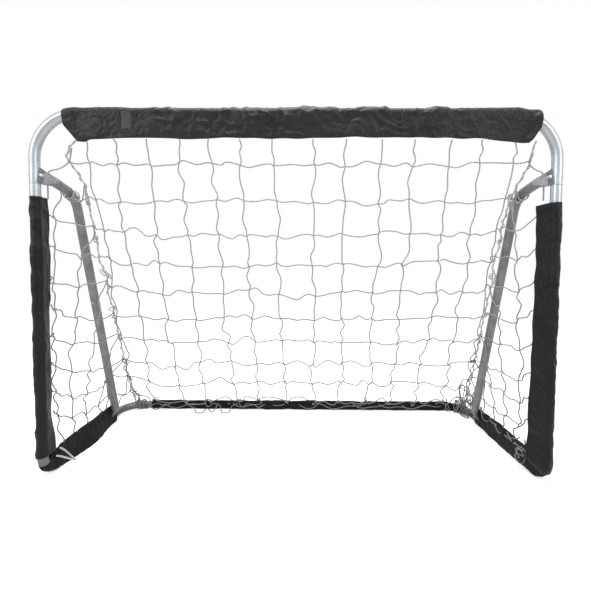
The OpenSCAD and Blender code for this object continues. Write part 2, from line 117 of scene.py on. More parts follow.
def ripple(
    x: np.ndarray, y: np.ndarray, length: float, seed: int, stretch: float = 1.0, waves: int = 9
) -> np.ndarray:
    """Smooth random relief made of a few sine waves, about -1 to 1.

    Args:
        x: first coordinate, in metres.
        y: second coordinate, in metres.
        length: the typical wavelength along x, in metres.
        seed: picks the relief.
        stretch: how much longer the waves are along y.
        waves: how many waves are added up.

    Returns:
        The relief at each point.
    """
    rng = np.random.default_rng(seed)
    total = np.zeros(np.broadcast(x, y).shape)
    for _ in range(waves):
        turn, phase = rng.uniform(0, math.tau, 2)
        step = math.tau / (length * rng.uniform(0.6, 1.7))
        total = total + np.sin(step * (math.cos(turn) * x + math.sin(turn) * y / stretch) + phase)
    return total / math.sqrt(waves)


def rows_of(*columns: Any) -> np.ndarray:
    """Joins columns, each an array or one number, into rows."""
    return np.column_stack(np.broadcast_arrays(*columns))


def smooth(edge0: float, edge1: float, x: np.ndarray) -> np.ndarray:
    """Smooth step from 0 at edge0 to 1 at edge1."""
    t = np.clip((x - edge0) / (edge1 - edge0), 0, 1)
    return t * t * (3 - 2 * t)


def mesh_object(name: str, points: np.ndarray, faces: Sequence[Sequence[int]], edges: Sequence = ()) -> Any:
    """Makes a mesh object at the origin.

    Args:
        name: the piece's name.
        points: its vertices, in metres.
        faces: its faces by vertex index.
        edges: loose edges, for cords.

    Returns:
        The linked object.
    """
    mesh = bpy.data.meshes.new(name)
    mesh.from_pydata(np.asarray(points, float).tolist(), list(edges), list(faces))
    mesh.shade_smooth()
    piece = bpy.data.objects.new(name, mesh)
    bpy.context.scene.collection.objects.link(piece)
    return piece


def sheet_object(name: str, grid: np.ndarray, ring: bool, material: Any) -> Any:
    """Makes a sheet from a grid of points.

    Args:
        name: the piece's name.
        grid: its points, rows by columns by 3.
        ring: whether the last column joins the first.
        material: what it is made of.

    Returns:
        The piece.
    """
    rows, cols = grid.shape[:2]
    faces = [
        (i * cols + k, i * cols + (k + 1) % cols, (i + 1) * cols + (k + 1) % cols, (i + 1) * cols + k)
        for i in range(rows - 1)
        for k in range(cols if ring else cols - 1)
    ]
    piece = mesh_object(name, grid.reshape(-1, 3), faces)
    piece.data.materials.append(material)
    return piece


def thicken(piece: Any, wall: float, offset: float) -> None:
    """Gives a sheet its wall; the offset is -1 for inwards and 0 for both ways."""
    shell = piece.modifiers.new("wall", "SOLIDIFY")
    shell.thickness, shell.offset = wall, offset
    bake(piece)


def bake(piece: Any) -> None:
    """Turns a piece with modifiers into a plain mesh and removes the modifiers."""
    graph = bpy.context.evaluated_depsgraph_get()
    mesh = bpy.data.meshes.new_from_object(piece.evaluated_get(graph), depsgraph=graph)
    piece.modifiers.clear()
    piece.data = mesh
    mesh.shade_smooth()


def outwards(piece: Any) -> None:
    """Turns a closed piece's faces so that its volume is positive."""
    mesh = piece.data
    mesh.calc_loop_triangles()
    tri = np.array([t.vertices for t in mesh.loop_triangles])
    co = np.array([v.co for v in mesh.vertices])
    volume = np.einsum("ij,ij->i", co[tri[:, 0]], np.cross(co[tri[:, 1]], co[tri[:, 2]])).sum()
    if volume < 0:
        mesh.flip_normals()


# --- finishes


def per(size_mm: float) -> float:
    """The texture scale that draws a pattern at its real size in millimetres."""
    return 1 / (size_mm * MM)


@dataclass(frozen=True)
class Finish:
    """A procedural material: each kind says what goes into its Principled shader."""

    name: str
    light: str  # the two colours that it is mottled with
    dark: str
    rough: tuple[float, float]  # roughness at the two ends of the mottling

    def build(self) -> Any:
        """Makes the material.

        Returns:
            The Blender material.
        """
        material = bpy.data.materials.new(self.name)
        material.use_nodes = True
        tree = material.node_tree
        tree.nodes.clear()
        shader = add(tree, "ShaderNodeBsdfPrincipled", self.dress(tree))
        add(tree, "ShaderNodeOutputMaterial", {"Surface": shader.outputs[0]})
        return material

    def dress(self, tree: Any) -> dict[str, Any]:
        """Adds this finish's own nodes; returns sockets and constants by the name of the shader's input."""
        raise NotImplementedError

    def mottled(self, tree: Any, share: Any, start: float = 0.3, end: float = 0.7) -> dict[str, Any]:
        """Lets one pattern drive colour and roughness.

        Args:
            tree: the node tree.
            share: the pattern's socket, 0 to 1.
            start: where in the pattern the dark colour ends.
            end: where the light colour starts.

        Returns:
            The shader's colour and roughness sockets, by name.
        """
        between = add(tree, "ShaderNodeMapRange", {"Value": share, "From Min": start, "From Max": end}).outputs[0]
        colour = add(tree, "ShaderNodeMix", {0: between, 6: linear(self.dark), 7: linear(self.light)}, data_type="RGBA")
        rough = add(tree, "ShaderNodeMapRange", {"Value": share, "To Min": self.rough[0], "To Max": self.rough[1]})
        return {"Base Color": colour.outputs[2], "Roughness": rough.outputs[0]}


@dataclass(frozen=True)
class GalvanisedTube(Finish):
    """Bright hot-dip galvanised steel tube, drawn and then dipped: pale, softly mottled, with a broad sheen."""

    name: str = "galvanised_steel"
    light: str = "#bfc5c9"
    dark: str = "#a9b0b5"
    rough: tuple[float, float] = (0.38, 0.28)
    cloud_mm: float = 71.43  # runs of zinc, a hand wide
    spangle_mm: float = 9.0  # crystals of zinc, a few millimetres across
    spangle_share: float = 0.12
    draw_mm: float = 1.4  # fine lines left by the drawing die
    joint_z: float = 1.2195  # height of the joint in the posts, in metres
    joint_mm: float = 0.8  # half the shadow line where the two tubes meet
    joint: str = "#4c4f53"
    metallic: float = 0.72  # the dull zinc skin scatters more than bare metal

    def dress(self, tree: Any) -> dict[str, Any]:
        """Adds spangle to the colour and roughness, a painted shadow line at the posts' joint, and fine die lines to
        the bump.
        """
        place = add(tree, "ShaderNodeTexCoord").outputs["Object"]
        spangle = add(tree, "ShaderNodeTexVoronoi", {"Vector": place, "Scale": per(self.spangle_mm)}, feature="F1")
        cloud = add(tree, "ShaderNodeTexNoise", {"Vector": place, "Scale": per(self.cloud_mm), "Detail": 5.0})
        mix = {0: self.spangle_share, 2: cloud.outputs["Fac"], 3: spangle.outputs["Distance"]}
        zinc = self.mottled(tree, add(tree, "ShaderNodeMix", mix).outputs[0], 0.25, 0.75)
        height = add(tree, "ShaderNodeSeparateXYZ", {0: place}).outputs["Z"]
        # a thin band of painted shadow where the two post tubes meet
        line = add(tree, "ShaderNodeMath", {0: height, 1: self.joint_z, 2: self.joint_mm * MM}, operation="COMPARE")
        mix = {0: line.outputs[0], 6: zinc["Base Color"], 7: linear(self.joint)}
        shadow_lined = add(tree, "ShaderNodeMix", mix, data_type="RGBA")
        lines = add(tree, "ShaderNodeTexNoise", {"Vector": place, "Scale": per(self.draw_mm), "Detail": 2.0})
        bump = add(tree, "ShaderNodeBump", {"Height": lines.outputs["Fac"], "Strength": 0.03, "Distance": 0.3 * MM})
        return zinc | {"Base Color": shadow_lined.outputs[2], "Normal": bump.outputs[0], "Metallic": self.metallic}


@dataclass(frozen=True)
class Grained(Finish):
    """A finish with clouds in its colour and roughness, and one fine grain in its bump."""

    cloud_mm: float
    detail: float  # how finely the clouds break up
    grain_mm: float
    grain_detail: float
    depth_mm: float
    strength: float  # of the grain's bump
    extras: tuple = ()  # the shader's other inputs, by name

    def dress(self, tree: Any) -> dict[str, Any]:
        """Adds the clouds and the grain."""
        place = add(tree, "ShaderNodeTexCoord").outputs["Object"]
        cloud, grain = (
            add(tree, "ShaderNodeTexNoise", {"Vector": place, "Scale": per(size), "Detail": detail}).outputs["Fac"]
            for size, detail in ((self.cloud_mm, self.detail), (self.grain_mm, self.grain_detail))
        )
        depth = {"Height": grain, "Strength": self.strength, "Distance": self.depth_mm * MM}
        bump = add(tree, "ShaderNodeBump", depth).outputs[0]
        return self.mottled(tree, cloud) | {"Normal": bump} | dict(self.extras)


class Coating(Enum):
    """Thin coats that differ only in their sizes and colours."""

    # Mid-grey powder baked on steel: satin, with an orange peel of 2 mm and faint marks of hands and packing
    POWDER = Grained(
        "grey_powder_coat", "#8c8c90", "#707074", (0.34, 0.5), 45.45, 6.0, 2.2, 1.0, 0.5, 0.12,
        (("Metallic", 0.35), ("IOR", 1.5)),
    )
    # Bright zinc plating on fasteners: hard glints, slightly cloudy, with next to no grain
    ZINC = Grained(
        "bright_zinc_plate", "#d5d8db", "#b2b6ba", (0.2, 0.36), 3.846, 4.0, 1.0, 1.0, 0.5, 0.0, (("Metallic", 1.0),)
    )
    # Brushed nylon loop tape: a shade lighter than the fabric and furry, with tufts of 2 mm
    LOOP_TAPE = Grained(
        "nylon_loop_tape", "#46434a", "#353238", (0.9, 0.9), 1.667, 3.0, 1.667, 3.0, 0.8, 0.6, (("Sheen Weight", 0.3),)
    )


@dataclass(frozen=True)
class CoatedPolyester(Finish):
    """Charcoal plain-woven polyester with a thin coating: matt weave, soft sheen on the folds."""

    name: str = "coated_polyester"
    light: str = "#3f3c41"
    dark: str = "#2b292d"
    rough: tuple[float, float] = (0.32, 0.52)
    cloud_mm: float = 111.1  # patches of wear
    thread_mm: float = 1.6  # real threads are near 0.4 mm; drawn coarser so that the weave shows
    waves: float = 3.2  # bands that the wave texture draws in one unit at scale 1
    crease_mm: float = 48.0  # size of the small folds that stretched cloth keeps
    crease_depth_mm: float = 9.0
    sheen: float = 0.18
    gloss: float = 0.4
    relief: float = 0.5  # strength of the small folds

    def dress(self, tree: Any) -> dict[str, Any]:
        """Adds a woven bump on the piece's own UV map, small folds, and cloudy wear to the colour."""
        place = add(tree, "ShaderNodeTexCoord").outputs
        cloud = add(tree, "ShaderNodeTexNoise", {"Vector": place["Object"], "Scale": per(self.cloud_mm), "Detail": 7.0})
        thread = {"Vector": place["UV"], "Scale": per(self.thread_mm) / self.waves, "Distortion": 0.6}
        warp, weft = (add(tree, "ShaderNodeTexWave", thread, bands_direction=way).outputs["Fac"] for way in "XY")
        weave = add(tree, "ShaderNodeMath", {0: warp, 1: weft}, operation="MULTIPLY").outputs[0]
        fine = add(tree, "ShaderNodeBump", {"Height": weave, "Strength": 0.25, "Distance": 0.3 * MM}).outputs[0]
        folds = {"Vector": place["Object"], "Scale": per(self.crease_mm), "Detail": 3.0, "Distortion": 1.8}
        height = add(tree, "ShaderNodeTexNoise", folds).outputs["Fac"]
        depth = {"Height": height, "Strength": self.relief, "Distance": self.crease_depth_mm * MM, "Normal": fine}
        return self.mottled(tree, cloud.outputs["Fac"], 0.35, 0.7) | {
            "Normal": add(tree, "ShaderNodeBump", depth).outputs[0],
            "Sheen Weight": self.sheen,
            "Sheen Roughness": 0.4,
            "IOR": 1.45,
            "Specular IOR Level": self.gloss,
        }


class FabricPaintedLight(Enum):
    """The same fabric in copies whose colours carry painted light and shade: the crossbar's, stretched and sheeny, is
    lightest; the posts' is darker; the base's, dull, is darkest, painted shade where it gets least light.
    """

    # painted light: the lightest copy, on the crossbar
    BAR = CoatedPolyester("coated_polyester_bar", "#1d1a20", "#0d0c0f", sheen=0.1, gloss=0.42, relief=0.9)
    # painted shade: a darker copy, on the posts
    POST = CoatedPolyester("coated_polyester_post", "#161417", "#0c0b0d", sheen=0.06, gloss=0.28)
    # painted shade: the darkest copy, on the base
    BASE = CoatedPolyester("coated_polyester_base", "#121113", "#0a0a0b", (0.5, 0.7), sheen=0.04, gloss=0.22)


@dataclass(frozen=True)
class TwistedCord(Finish):
    """White twisted polyethylene cord: strands wind round it, with painted shade in the grooves between them."""

    name: str = "polyethylene_net_cord"
    # The net's copy: the white cord greyed all over with painted shade
    light: str = "#bababa"
    dark: str = "#7b7b7a"
    rough: tuple[float, float] = (0.62, 0.62)
    strands: int = 3
    lay_mm: float = 9.0  # length of one turn of the strands
    dust: float = 0.9  # how far the net greys towards the ground
    dust_height: float = 1.2
    dirt: str = "#646463"

    def dress(self, tree: Any) -> dict[str, Any]:
        """Adds strands that follow the cord's own UV map, with painted shade in their grooves, and a grey that thins
        out upwards.
        """
        place = add(tree, "ShaderNodeTexCoord").outputs
        parts = add(tree, "ShaderNodeSeparateXYZ", {"Vector": place["UV"]}).outputs
        rate = {"Y": math.tau * per(self.lay_mm), "X": self.strands * math.tau}
        turns = [
            add(tree, "ShaderNodeMath", {0: parts[axis], 1: size}, operation="MULTIPLY").outputs[0]
            for axis, size in rate.items()
        ]
        phase = add(tree, "ShaderNodeMath", dict(enumerate(turns)), operation="ADD").outputs[0]
        wave = add(tree, "ShaderNodeMath", {0: phase}, operation="SINE").outputs[0]
        strand = add(tree, "ShaderNodeMapRange", {"Value": wave, "From Min": -1.0}).outputs[0]
        # painted shade: the grooves between the strands take the dark colour
        groove_shaded = self.mottled(tree, strand, 0.0, 0.6)
        height = add(tree, "ShaderNodeSeparateXYZ", {0: place["Object"]}).outputs["Z"]
        fade = {"Value": height, "From Max": self.dust_height, "To Min": self.dust, "To Max": 0.0}
        share = add(tree, "ShaderNodeMapRange", fade).outputs[0]
        mix = {0: share, 6: groove_shaded["Base Color"], 7: linear(self.dirt)}
        greyed = add(tree, "ShaderNodeMix", mix, data_type="RGBA").outputs[2]
        bump = add(tree, "ShaderNodeBump", {"Height": strand, "Strength": 0.5, "Distance": 0.5 * MM}).outputs[0]
        return groove_shaded | {"Base Color": greyed, "Normal": bump, "IOR": 1.5, "Sheen Weight": 0.1}


@dataclass(frozen=True)
class StudioFloor(Finish):
    """Smooth pale studio floor that keeps a soft shadow."""

    name: str = "studio_floor"
    light: str = "#f8f8f8"
    dark: str = "#f4f4f4"
    rough: tuple[float, float] = (0.9, 0.9)
    patches: float = 60.0  # faint clouds from one side of the floor to the other
    glow: float = 0.55  # light added for the camera only, so that the lit floor reads as white paper

    def dress(self, tree: Any) -> dict[str, Any]:
        """Adds faint clouds and the camera-only glow."""
        seen = add(tree, "ShaderNodeLightPath").outputs["Is Camera Ray"]
        glow = add(tree, "ShaderNodeMath", {0: seen, 1: self.glow}, operation="MULTIPLY").outputs[0]
        clouds = add(tree, "ShaderNodeTexNoise", {"Scale": self.patches}).outputs["Fac"]
        return self.mottled(tree, clouds) | {"Emission Color": (1, 1, 1, 1), "Emission Strength": glow}


# --- sizes


@dataclass(frozen=True)
class GoalSizes:
    """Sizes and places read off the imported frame, in metres."""

    tube_r: float
    post_x: float
    post_y: float
    bar_z: float
    base_z: float
    rear_y: float
    bolt_z: float
    foot_y: float
    strut_x: float
    top_bend_r: float = 0.180  # bends of the frame, to the middle of the tube
    elbow_r: float = 0.080
    rear_bend_r: float = 0.115
    strut_reach: float = 0.191  # from the post back to the strut's bend
    arm_drop: float = math.radians(14)  # slope of the strut's short arm
    strut_bend_r: float = 0.110

    @classmethod
    def from_frame(cls) -> "GoalSizes":
        """Reads the sizes off the CAD nodes.

        Returns:
            The sizes of the frame as it was packed.
        """

        def middle(node: str, axis: str) -> float:
            """The middle of a node's box along one axis."""
            low, high = (getattr(corner, axis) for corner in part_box(node))
            return (low + high) / 2

        low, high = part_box("post_tube_right")
        return cls(
            tube_r=(high.x - low.x) / 2,
            post_x=middle("post_tube_right", "x"),
            post_y=middle("post_tube_right", "y"),
            bar_z=middle("crossbar_middle_tube", "z"),
            base_z=middle("rear_bar_middle_tube", "z"),
            rear_y=middle("rear_bar_middle_tube", "y"),
            bolt_z=middle("strut_top_bolts", "z"),
            foot_y=middle("strut_foot_bolts", "y"),
            strut_x=middle("strut_lower_right", "x"),
        )

    def strut_axis(self, side: Side) -> np.ndarray:
        """Points down the middle of a strut, with its bend rounded."""
        corner_z = self.bolt_z - self.strut_reach * math.tan(self.arm_drop)
        top = np.array([self.post_y, self.bolt_z])
        corner = np.array([self.post_y + self.strut_reach, corner_z])
        foot = np.array([self.foot_y, self.base_z])
        a, b = unit(top - corner), unit(foot - corner)
        half = math.acos(float(a @ b)) / 2
        reach = self.strut_bend_r / math.tan(half)
        t = np.linspace(0, 1, BEND_POINTS)[:, None]
        bend = (1 - t) ** 2 * (corner + a * reach) + 2 * t * (1 - t) * corner + t**2 * (corner + b * reach)
        line = np.vstack([top, bend, foot])
        return rows_of(side.value * self.strut_x, line[:, 0], line[:, 1])


# --- sleeves


@dataclass
class SleevePath:
    """Stations along a sleeved tube.

    Attributes:
        centre: the tube's middle at each station.
        along: the sleeve's own direction.
        flap_way: the way that the flap points.
        flap: distance from the tube's middle to the flap's free edge.
        tilt: cosine of the angle between the sleeve and the tube inside it, at each station or for all.
    """

    centre: np.ndarray
    along: np.ndarray
    flap_way: np.ndarray
    flap: np.ndarray
    tilt: Any = 1.0

    @property
    def run(self) -> np.ndarray:
        """Distance along the sleeve at each station."""
        steps = np.linalg.norm(np.diff(self.centre, axis=0), axis=1)
        return np.concatenate([[0.0], np.cumsum(steps)])


@dataclass
class Sleeve:
    """A fabric sleeve folded round a tube, closed along its free edge."""

    EDGE_L = 0.12  # typical length of the waves in the free edge
    SWAY_L = (0.26, 0.09)  # lengths of the flap's long and short waves to the side
    PINCH_L = 0.014  # half the length of a place that is drawn in
    CUT_L = 0.12  # length over which an end is cut back
    FLARE_L = 0.07  # length over which an end stands off the tube
    PUCKER = 0.003  # how far the free edge shifts along the sleeve
    FOLD_L, SHARP_L, FINE_L = 0.12, 0.085, 0.035  # sizes of the broad folds, the sharp creases and the fine ones
    BAG_FULL = 0.016  # reach at which a bagged side lies flat on the ground
    GIRTH = 0.3  # cloth round a sleeve on its UV map

    part: str
    side: Optional[Side]
    covers: Sequence[str]  # the tubes inside it, without the side's name if it has a side
    path: SleevePath
    finish: Any
    tube_gap: float = 0.0016
    wall: float = 0.0016
    tip: float = 0.0022  # half the thickness of the sewn free edge
    sway: float = 0.004  # how far the flap waves to each side
    crease: float = 0.0016  # height of the creases
    crease_mask: Callable[[np.ndarray], np.ndarray] = np.ones_like
    edge_wave: float = 0.002
    end_cut: tuple[float, float] = (0.0, 0.0)  # how far the flap is cut back at its free edge, at each end
    flare: tuple[float, float] = (0.0012, 0.0012)  # how far each end stands off the tube
    pinches: Sequence[tuple[float, float]] = ()  # places along the sleeve, and depths, where its top is drawn in
    bag: Optional[Callable[[np.ndarray], np.ndarray]] = None  # how far the lower inner side lies out on the ground
    bag_side: int = 1
    seed: int = 1
    around: int = 90

    def tagged(self, name: str) -> str:
        """A name with this sleeve's side at its end."""
        return f"{name}_{self.side.tag}" if self.side else name

    def surface(self, tube_r: float, lift: float = 0.0) -> np.ndarray:
        """Points of the outer face.

        Args:
            tube_r: radius of the covered tube.
            lift: extra distance outwards.

        Returns:
            An array of stations by points by 3.
        """
        path, r = self.path, tube_r + self.tube_gap + lift
        s = path.run[:, None]
        length = s[-1, 0]
        edge = self.around // 3
        tilt = np.broadcast_to(path.tilt, len(s))[:, None]
        flap = (path.flap[:, None] + self.edge_wave * ripple(s, 0 * s, self.EDGE_L, self.seed + 5)) * tilt
        touch = np.arccos(np.clip((r - self.tip) / flap, -1, 1))
        theta = touch + np.linspace(0, 1, self.around - 2 * edge)[None, :] * (2 * math.pi - 2 * touch)
        share = np.linspace(1, 0, edge, endpoint=False)[None, :]
        face_down = r * np.cos(touch) * (1 - share) + flap * share
        face_out = r * np.sin(touch) * (1 - share) + (self.tip + lift) * share
        down = np.concatenate([face_down, r * np.cos(theta), face_down[:, ::-1]], axis=1)
        out = np.concatenate([face_out, r * np.sin(theta), -face_out[:, ::-1]], axis=1)
        on_tube = down < r * np.cos(touch) + 1e-6
        size = np.maximum(np.hypot(down, out), 1e-6)
        normal_down = np.where(on_tube, down / size, 0.0)
        normal_out = np.where(on_tube, out / size, np.sign(out))
        down, flap = down / tilt, flap / tilt
        drop = np.clip(down / flap, 0, 1)
        grow = self._relief(s, down, out) + self._ends(s, length, self.flare)
        for place, depth in self.pinches:
            grow = grow - depth * np.exp(-(((s - place) / self.PINCH_L) ** 2)) * (down < 0)
        grow = np.maximum(grow, -0.7 * self.tube_gap)
        wave = self.sway * drop**1.4 * ripple(s, 0 * s, self.SWAY_L[0], self.seed, waves=7)
        wave = wave + 0.4 * self.sway * drop * ripple(s, 0 * s, self.SWAY_L[1], self.seed + 1)
        down = down + normal_down * grow
        out = out + normal_out * grow * (1 - smooth(0.9, 1.0, drop)) + wave
        down, out = self._bagged(s, down, out, r, flap)
        corner = np.clip((drop - 0.4) / 0.6, 0, 1)
        start, end = 1 - smooth(0, self.CUT_L, s), smooth(length - self.CUT_L, length, s)
        slide = corner * (self.end_cut[0] * start - self.end_cut[1] * end)
        slide = slide + self.PUCKER * drop * ripple(s, down, 0.3, self.seed + 4)
        beside = np.cross(path.along, path.flap_way)
        grid = path.centre[:, None, :] + path.flap_way[:, None, :] * down[..., None]
        return grid + beside[:, None, :] * out[..., None] + path.along[:, None, :] * slide[..., None]

    def _relief(self, s: np.ndarray, down: np.ndarray, out: np.ndarray) -> np.ndarray:
        """Height of the creases over the smooth sleeve."""
        across = 1.8 * out + down
        folds = ripple(s + 0.5 * across, across, self.FOLD_L, self.seed + 2, stretch=1.5)
        sharp = 1.0 - np.abs(ripple(s - 0.7 * across, 1.3 * across, self.SHARP_L, self.seed + 3, stretch=1.3))
        fine = ripple(s + 0.3 * across, across, self.FINE_L, self.seed + 6, stretch=1.8)
        mask = self.crease_mask(s)
        return self.crease * (0.25 * folds + mask * (0.5 * folds + 0.75 * sharp + 0.22 * fine))

    @staticmethod
    def _ends(s: np.ndarray, length: float, rise: tuple[float, float]) -> np.ndarray:
        """A swelling at each end of the sleeve."""
        start, end = 1 - smooth(0.0, Sleeve.FLARE_L, s), smooth(length - Sleeve.FLARE_L, length, s)
        return rise[0] * start**2 + rise[1] * end**2

    def _bagged(self, s: np.ndarray, down: np.ndarray, out: np.ndarray, r: float, flap: np.ndarray) -> tuple:
        """Lays the lower inner side out on the ground.

        Args:
            s: distance along the sleeve.
            down: distance from the tube's middle towards the free edge.
            out: distance to the side.
            r: radius of the sleeve on its tube.
            flap: reach of the flap.

        Returns:
            The changed down and out.
        """
        if self.bag is None:
            return down, out
        amount = self.bag(s)
        inner = smooth(0.0, 0.5 * r, out * self.bag_side)
        face = np.clip(1 - (down + r) / (0.95 * (flap + r)), 0, 1)
        flat = np.where(down < 0.2 * r, np.clip(amount / self.BAG_FULL, 0, 1) * inner, 0.0)
        return down * (1 - flat) - r * flat, out + self.bag_side * amount * inner * face

    def build(self, sizes: GoalSizes) -> Any:
        """Builds the sleeve as a closed thin shell.

        Args:
            sizes: the frame's sizes.

        Returns:
            The finished piece.
        """
        grid = self.surface(sizes.tube_r)
        grid[..., 2] = np.maximum(grid[..., 2], SHEET_FLOOR)
        piece = sheet_object(self.tagged(f"{self.part}_fabric_sleeve"), grid, True, self.finish)
        self._lay_uv(piece, grid.shape[1])
        outwards(piece)
        thicken(piece, self.wall, -1.0)
        for vertex in piece.data.vertices:
            vertex.co.z = max(vertex.co.z, SHELL_FLOOR)
        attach(piece, "goal_frame")
        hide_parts(self.tagged(f"{self.part}_sleeve"))
        return piece

    def _lay_uv(self, piece: Any, cols: int) -> None:
        """Lays a UV map in metres, along and round the sleeve."""
        layer = piece.data.uv_layers.new(name="cloth")
        run = self.path.run
        girth = self.GIRTH / cols
        for face in piece.data.polygons:
            ks = [piece.data.loops[n].vertex_index % cols for n in face.loop_indices]
            wrap = max(ks) - min(ks) > 1
            for n, k in zip(face.loop_indices, ks):
                i = piece.data.loops[n].vertex_index // cols
                layer.data[n].uv = (run[i], (k + cols if wrap and k == 0 else k) * girth)


@dataclass(frozen=True)
class PostCut:
    """How one post's sleeve is cut and turned; the tables run from its foot, 0, to its top, 1."""

    drop: float  # from the goal's top to the sleeve's top
    bend: float  # how far the sleeve runs down round the elbow
    flare: float  # how far its foot stands off the tube
    turn: tuple  # places, and degrees that the flap is turned back from pointing inwards
    flap: tuple  # places, and the flap's reach as a share of the usual one


POST_CUTS = {
    Side.LEFT: PostCut(
        drop=0.347, bend=math.radians(3), flare=0.0015,
        turn=((0, 0.12, 0.3, 0.7, 1), (80, 96, 92, 90, 80)), flap=((0, 0.15, 0.5, 1), (1.05, 1.0, 0.98, 0.95)),
    ),
    Side.RIGHT: PostCut(
        drop=0.368, bend=math.radians(38), flare=0.0050,
        turn=((0, 0.12, 0.3, 0.7, 1), (50, 52, 58, 60, 62)), flap=((0, 0.15, 0.5, 1), (1.14, 1.10, 1.02, 1.04)),
    ),
}  # fmt: skip


@dataclass
class SleeveSet:
    """All the goal's sleeves, with their flaps as they hang."""

    sizes: GoalSizes
    fabrics: dict[FabricPaintedLight, Any]
    tape: Any
    step: float = 0.007
    bar_ends: tuple[float, float] = (-0.917, 0.964)
    bar_smooth: tuple[float, float] = (0.28, 1.68)  # inner ends of the two smooth panels, along the sleeve
    tape_run: tuple[float, float] = (0.232, 0.278)  # ends of the loop tape, along the sleeve
    tape_drop: tuple[float, float] = (0.024, 0.088)  # its upper and lower edge, below the sleeve's top
    tape_wall: float = 0.0008
    # Height of the crossbar flap's free edge, by distance from the goal's middle
    bar_edge_x: Sequence[float] = (-0.95, -0.88, -0.75, -0.57, 0.0, 0.45, 0.75, 0.88, 0.98)
    bar_edge_z: Sequence[float] = (1.390, 1.390, 1.398, 1.401, 1.403, 1.406, 1.401, 1.390, 1.386)
    post_flap: float = 0.066
    side_flap: float = 0.0905
    side_lean: float = math.radians(15)
    side_end: float = 0.532  # from the post's middle to the end of each side bar's sleeve
    side_bag: tuple[float, float] = (0.040, 0.006)  # how far each side's sleeve lies out on the ground, left and right
    elbow_wrap: float = math.radians(62)
    rear_flap: float = 0.042
    rear_start: float = -0.876
    rear_wrap: float = math.radians(62)

    def crossbar(self) -> Sleeve:
        """The crossbar's sleeve, cut straight, so that it hides the start of both bends."""
        z = self.sizes
        straight = z.post_x - z.top_bend_r
        x = np.arange(self.bar_ends[0], self.bar_ends[1], self.step)
        over = np.arcsin(np.clip(np.abs(x) - straight, 0, None) / z.top_bend_r)
        height = z.bar_z - z.top_bend_r * (1 - np.cos(over))
        down = rows_of(0 * x, 0, -1)
        flap = height - np.interp(x, self.bar_edge_x, self.bar_edge_z)
        path = SleevePath(rows_of(x, z.post_y, height), rows_of(0 * x + 1, 0, 0), down, flap, np.cos(over))
        start = x[0]

        def crumpled(s: np.ndarray) -> np.ndarray:
            """Strong creases between the two smooth end panels."""
            first, last = self.bar_smooth
            return 0.15 + 0.85 * smooth(first, first + 0.12, s) * (1 - smooth(last - 0.12, last, s))

        return Sleeve(
            "crossbar", None, ("crossbar_middle_tube", "top_corner_tube_left", "top_corner_tube_right"), path,
            self.fabrics[FabricPaintedLight.BAR], crease=0.0050, crease_mask=crumpled, sway=0.005, edge_wave=0.0014,
            end_cut=(0.046, 0.026), flare=(0.0, 0.015),
            pinches=((-0.455 - start, 0.003), (0.52 - start, 0.0035)), seed=11,
        )

    def post(self, side: Side) -> Sleeve:
        """A post's sleeve; the left flap is turned back, and the right one runs down over the elbow."""
        z, cut = self.sizes, POST_CUTS[side]
        top = z.bar_z + z.tube_r + 0.002 - cut.drop
        joint = z.base_z + z.elbow_r
        run = np.arange(-cut.bend * z.elbow_r, top - joint, self.step * 0.9)
        a = np.maximum(-run, 0) / z.elbow_r
        t = np.clip(run / (top - joint), 0, 1)
        turn, flap = np.radians(np.interp(t, *cut.turn)), self.post_flap * np.interp(t, *cut.flap)
        way = rows_of(-side.value * np.cos(turn), np.cos(a) * np.sin(turn), np.sin(a) * np.sin(turn))
        back, height = z.elbow_r * (1 - np.cos(a)), np.maximum(run, 0) - z.elbow_r * np.sin(a)
        centre = rows_of(side.value * z.post_x, z.post_y + back, joint + height)
        path = SleevePath(centre, rows_of(0, -np.sin(a), np.cos(a)), way, flap)
        return Sleeve(
            "post", side, ("post_tube", "front_elbow_tube"), path, self.fabrics[FabricPaintedLight.POST], crease=0.0022,
            sway=0.003, edge_wave=0.0018, flare=(cut.flare, 0.0012), seed=21 + side.value,
        )

    def side_bar(self, side: Side) -> Sleeve:
        """A side bar's sleeve, which follows the front elbow upwards; the left one lies out on the ground."""
        z = self.sizes
        run = np.arange(-self.elbow_wrap * z.elbow_r, self.side_end - z.elbow_r, self.step * 0.8)
        a = np.maximum(-run, 0) / z.elbow_r
        back = z.post_y + z.elbow_r + np.maximum(run, 0) - z.elbow_r * np.sin(a)
        centre = rows_of(side.value * z.post_x, back, z.base_z + z.elbow_r * (1 - np.cos(a)))
        lean = self.side_lean * (1 - smooth(0, self.elbow_wrap, a))
        way = rows_of(-side.value * np.sin(lean), np.sin(a) * np.cos(lean), np.cos(a) * np.cos(lean))
        flap = self.side_flap * (1 - 0.45 * smooth(0, self.elbow_wrap * 0.9, a)) * (1 - 0.06 * smooth(0.2, 0.4, run))
        bend_l = self.elbow_wrap * z.elbow_r
        left = side is Side.LEFT

        def bag(s: np.ndarray) -> np.ndarray:
            """Wide in the middle of the bar, nothing at the elbow."""
            past = s - bend_l
            reach = self.side_bag[0 if left else 1]
            return reach * smooth(-0.01, 0.20, past) * (1 - 0.55 * smooth(0.24, 0.42, past))

        return Sleeve(
            "side_bar", side, ("front_elbow_tube", "rear_corner_tube"),
            SleevePath(centre, rows_of(0, np.cos(a), -np.sin(a)), way, flap), self.fabrics[FabricPaintedLight.BASE],
            crease=0.0020, sway=0.003, end_cut=(0.0, 0.034), flare=(0.0004, 0.003), bag=bag,
            bag_side=1 if left else -1, seed=31 + side.value,
        )

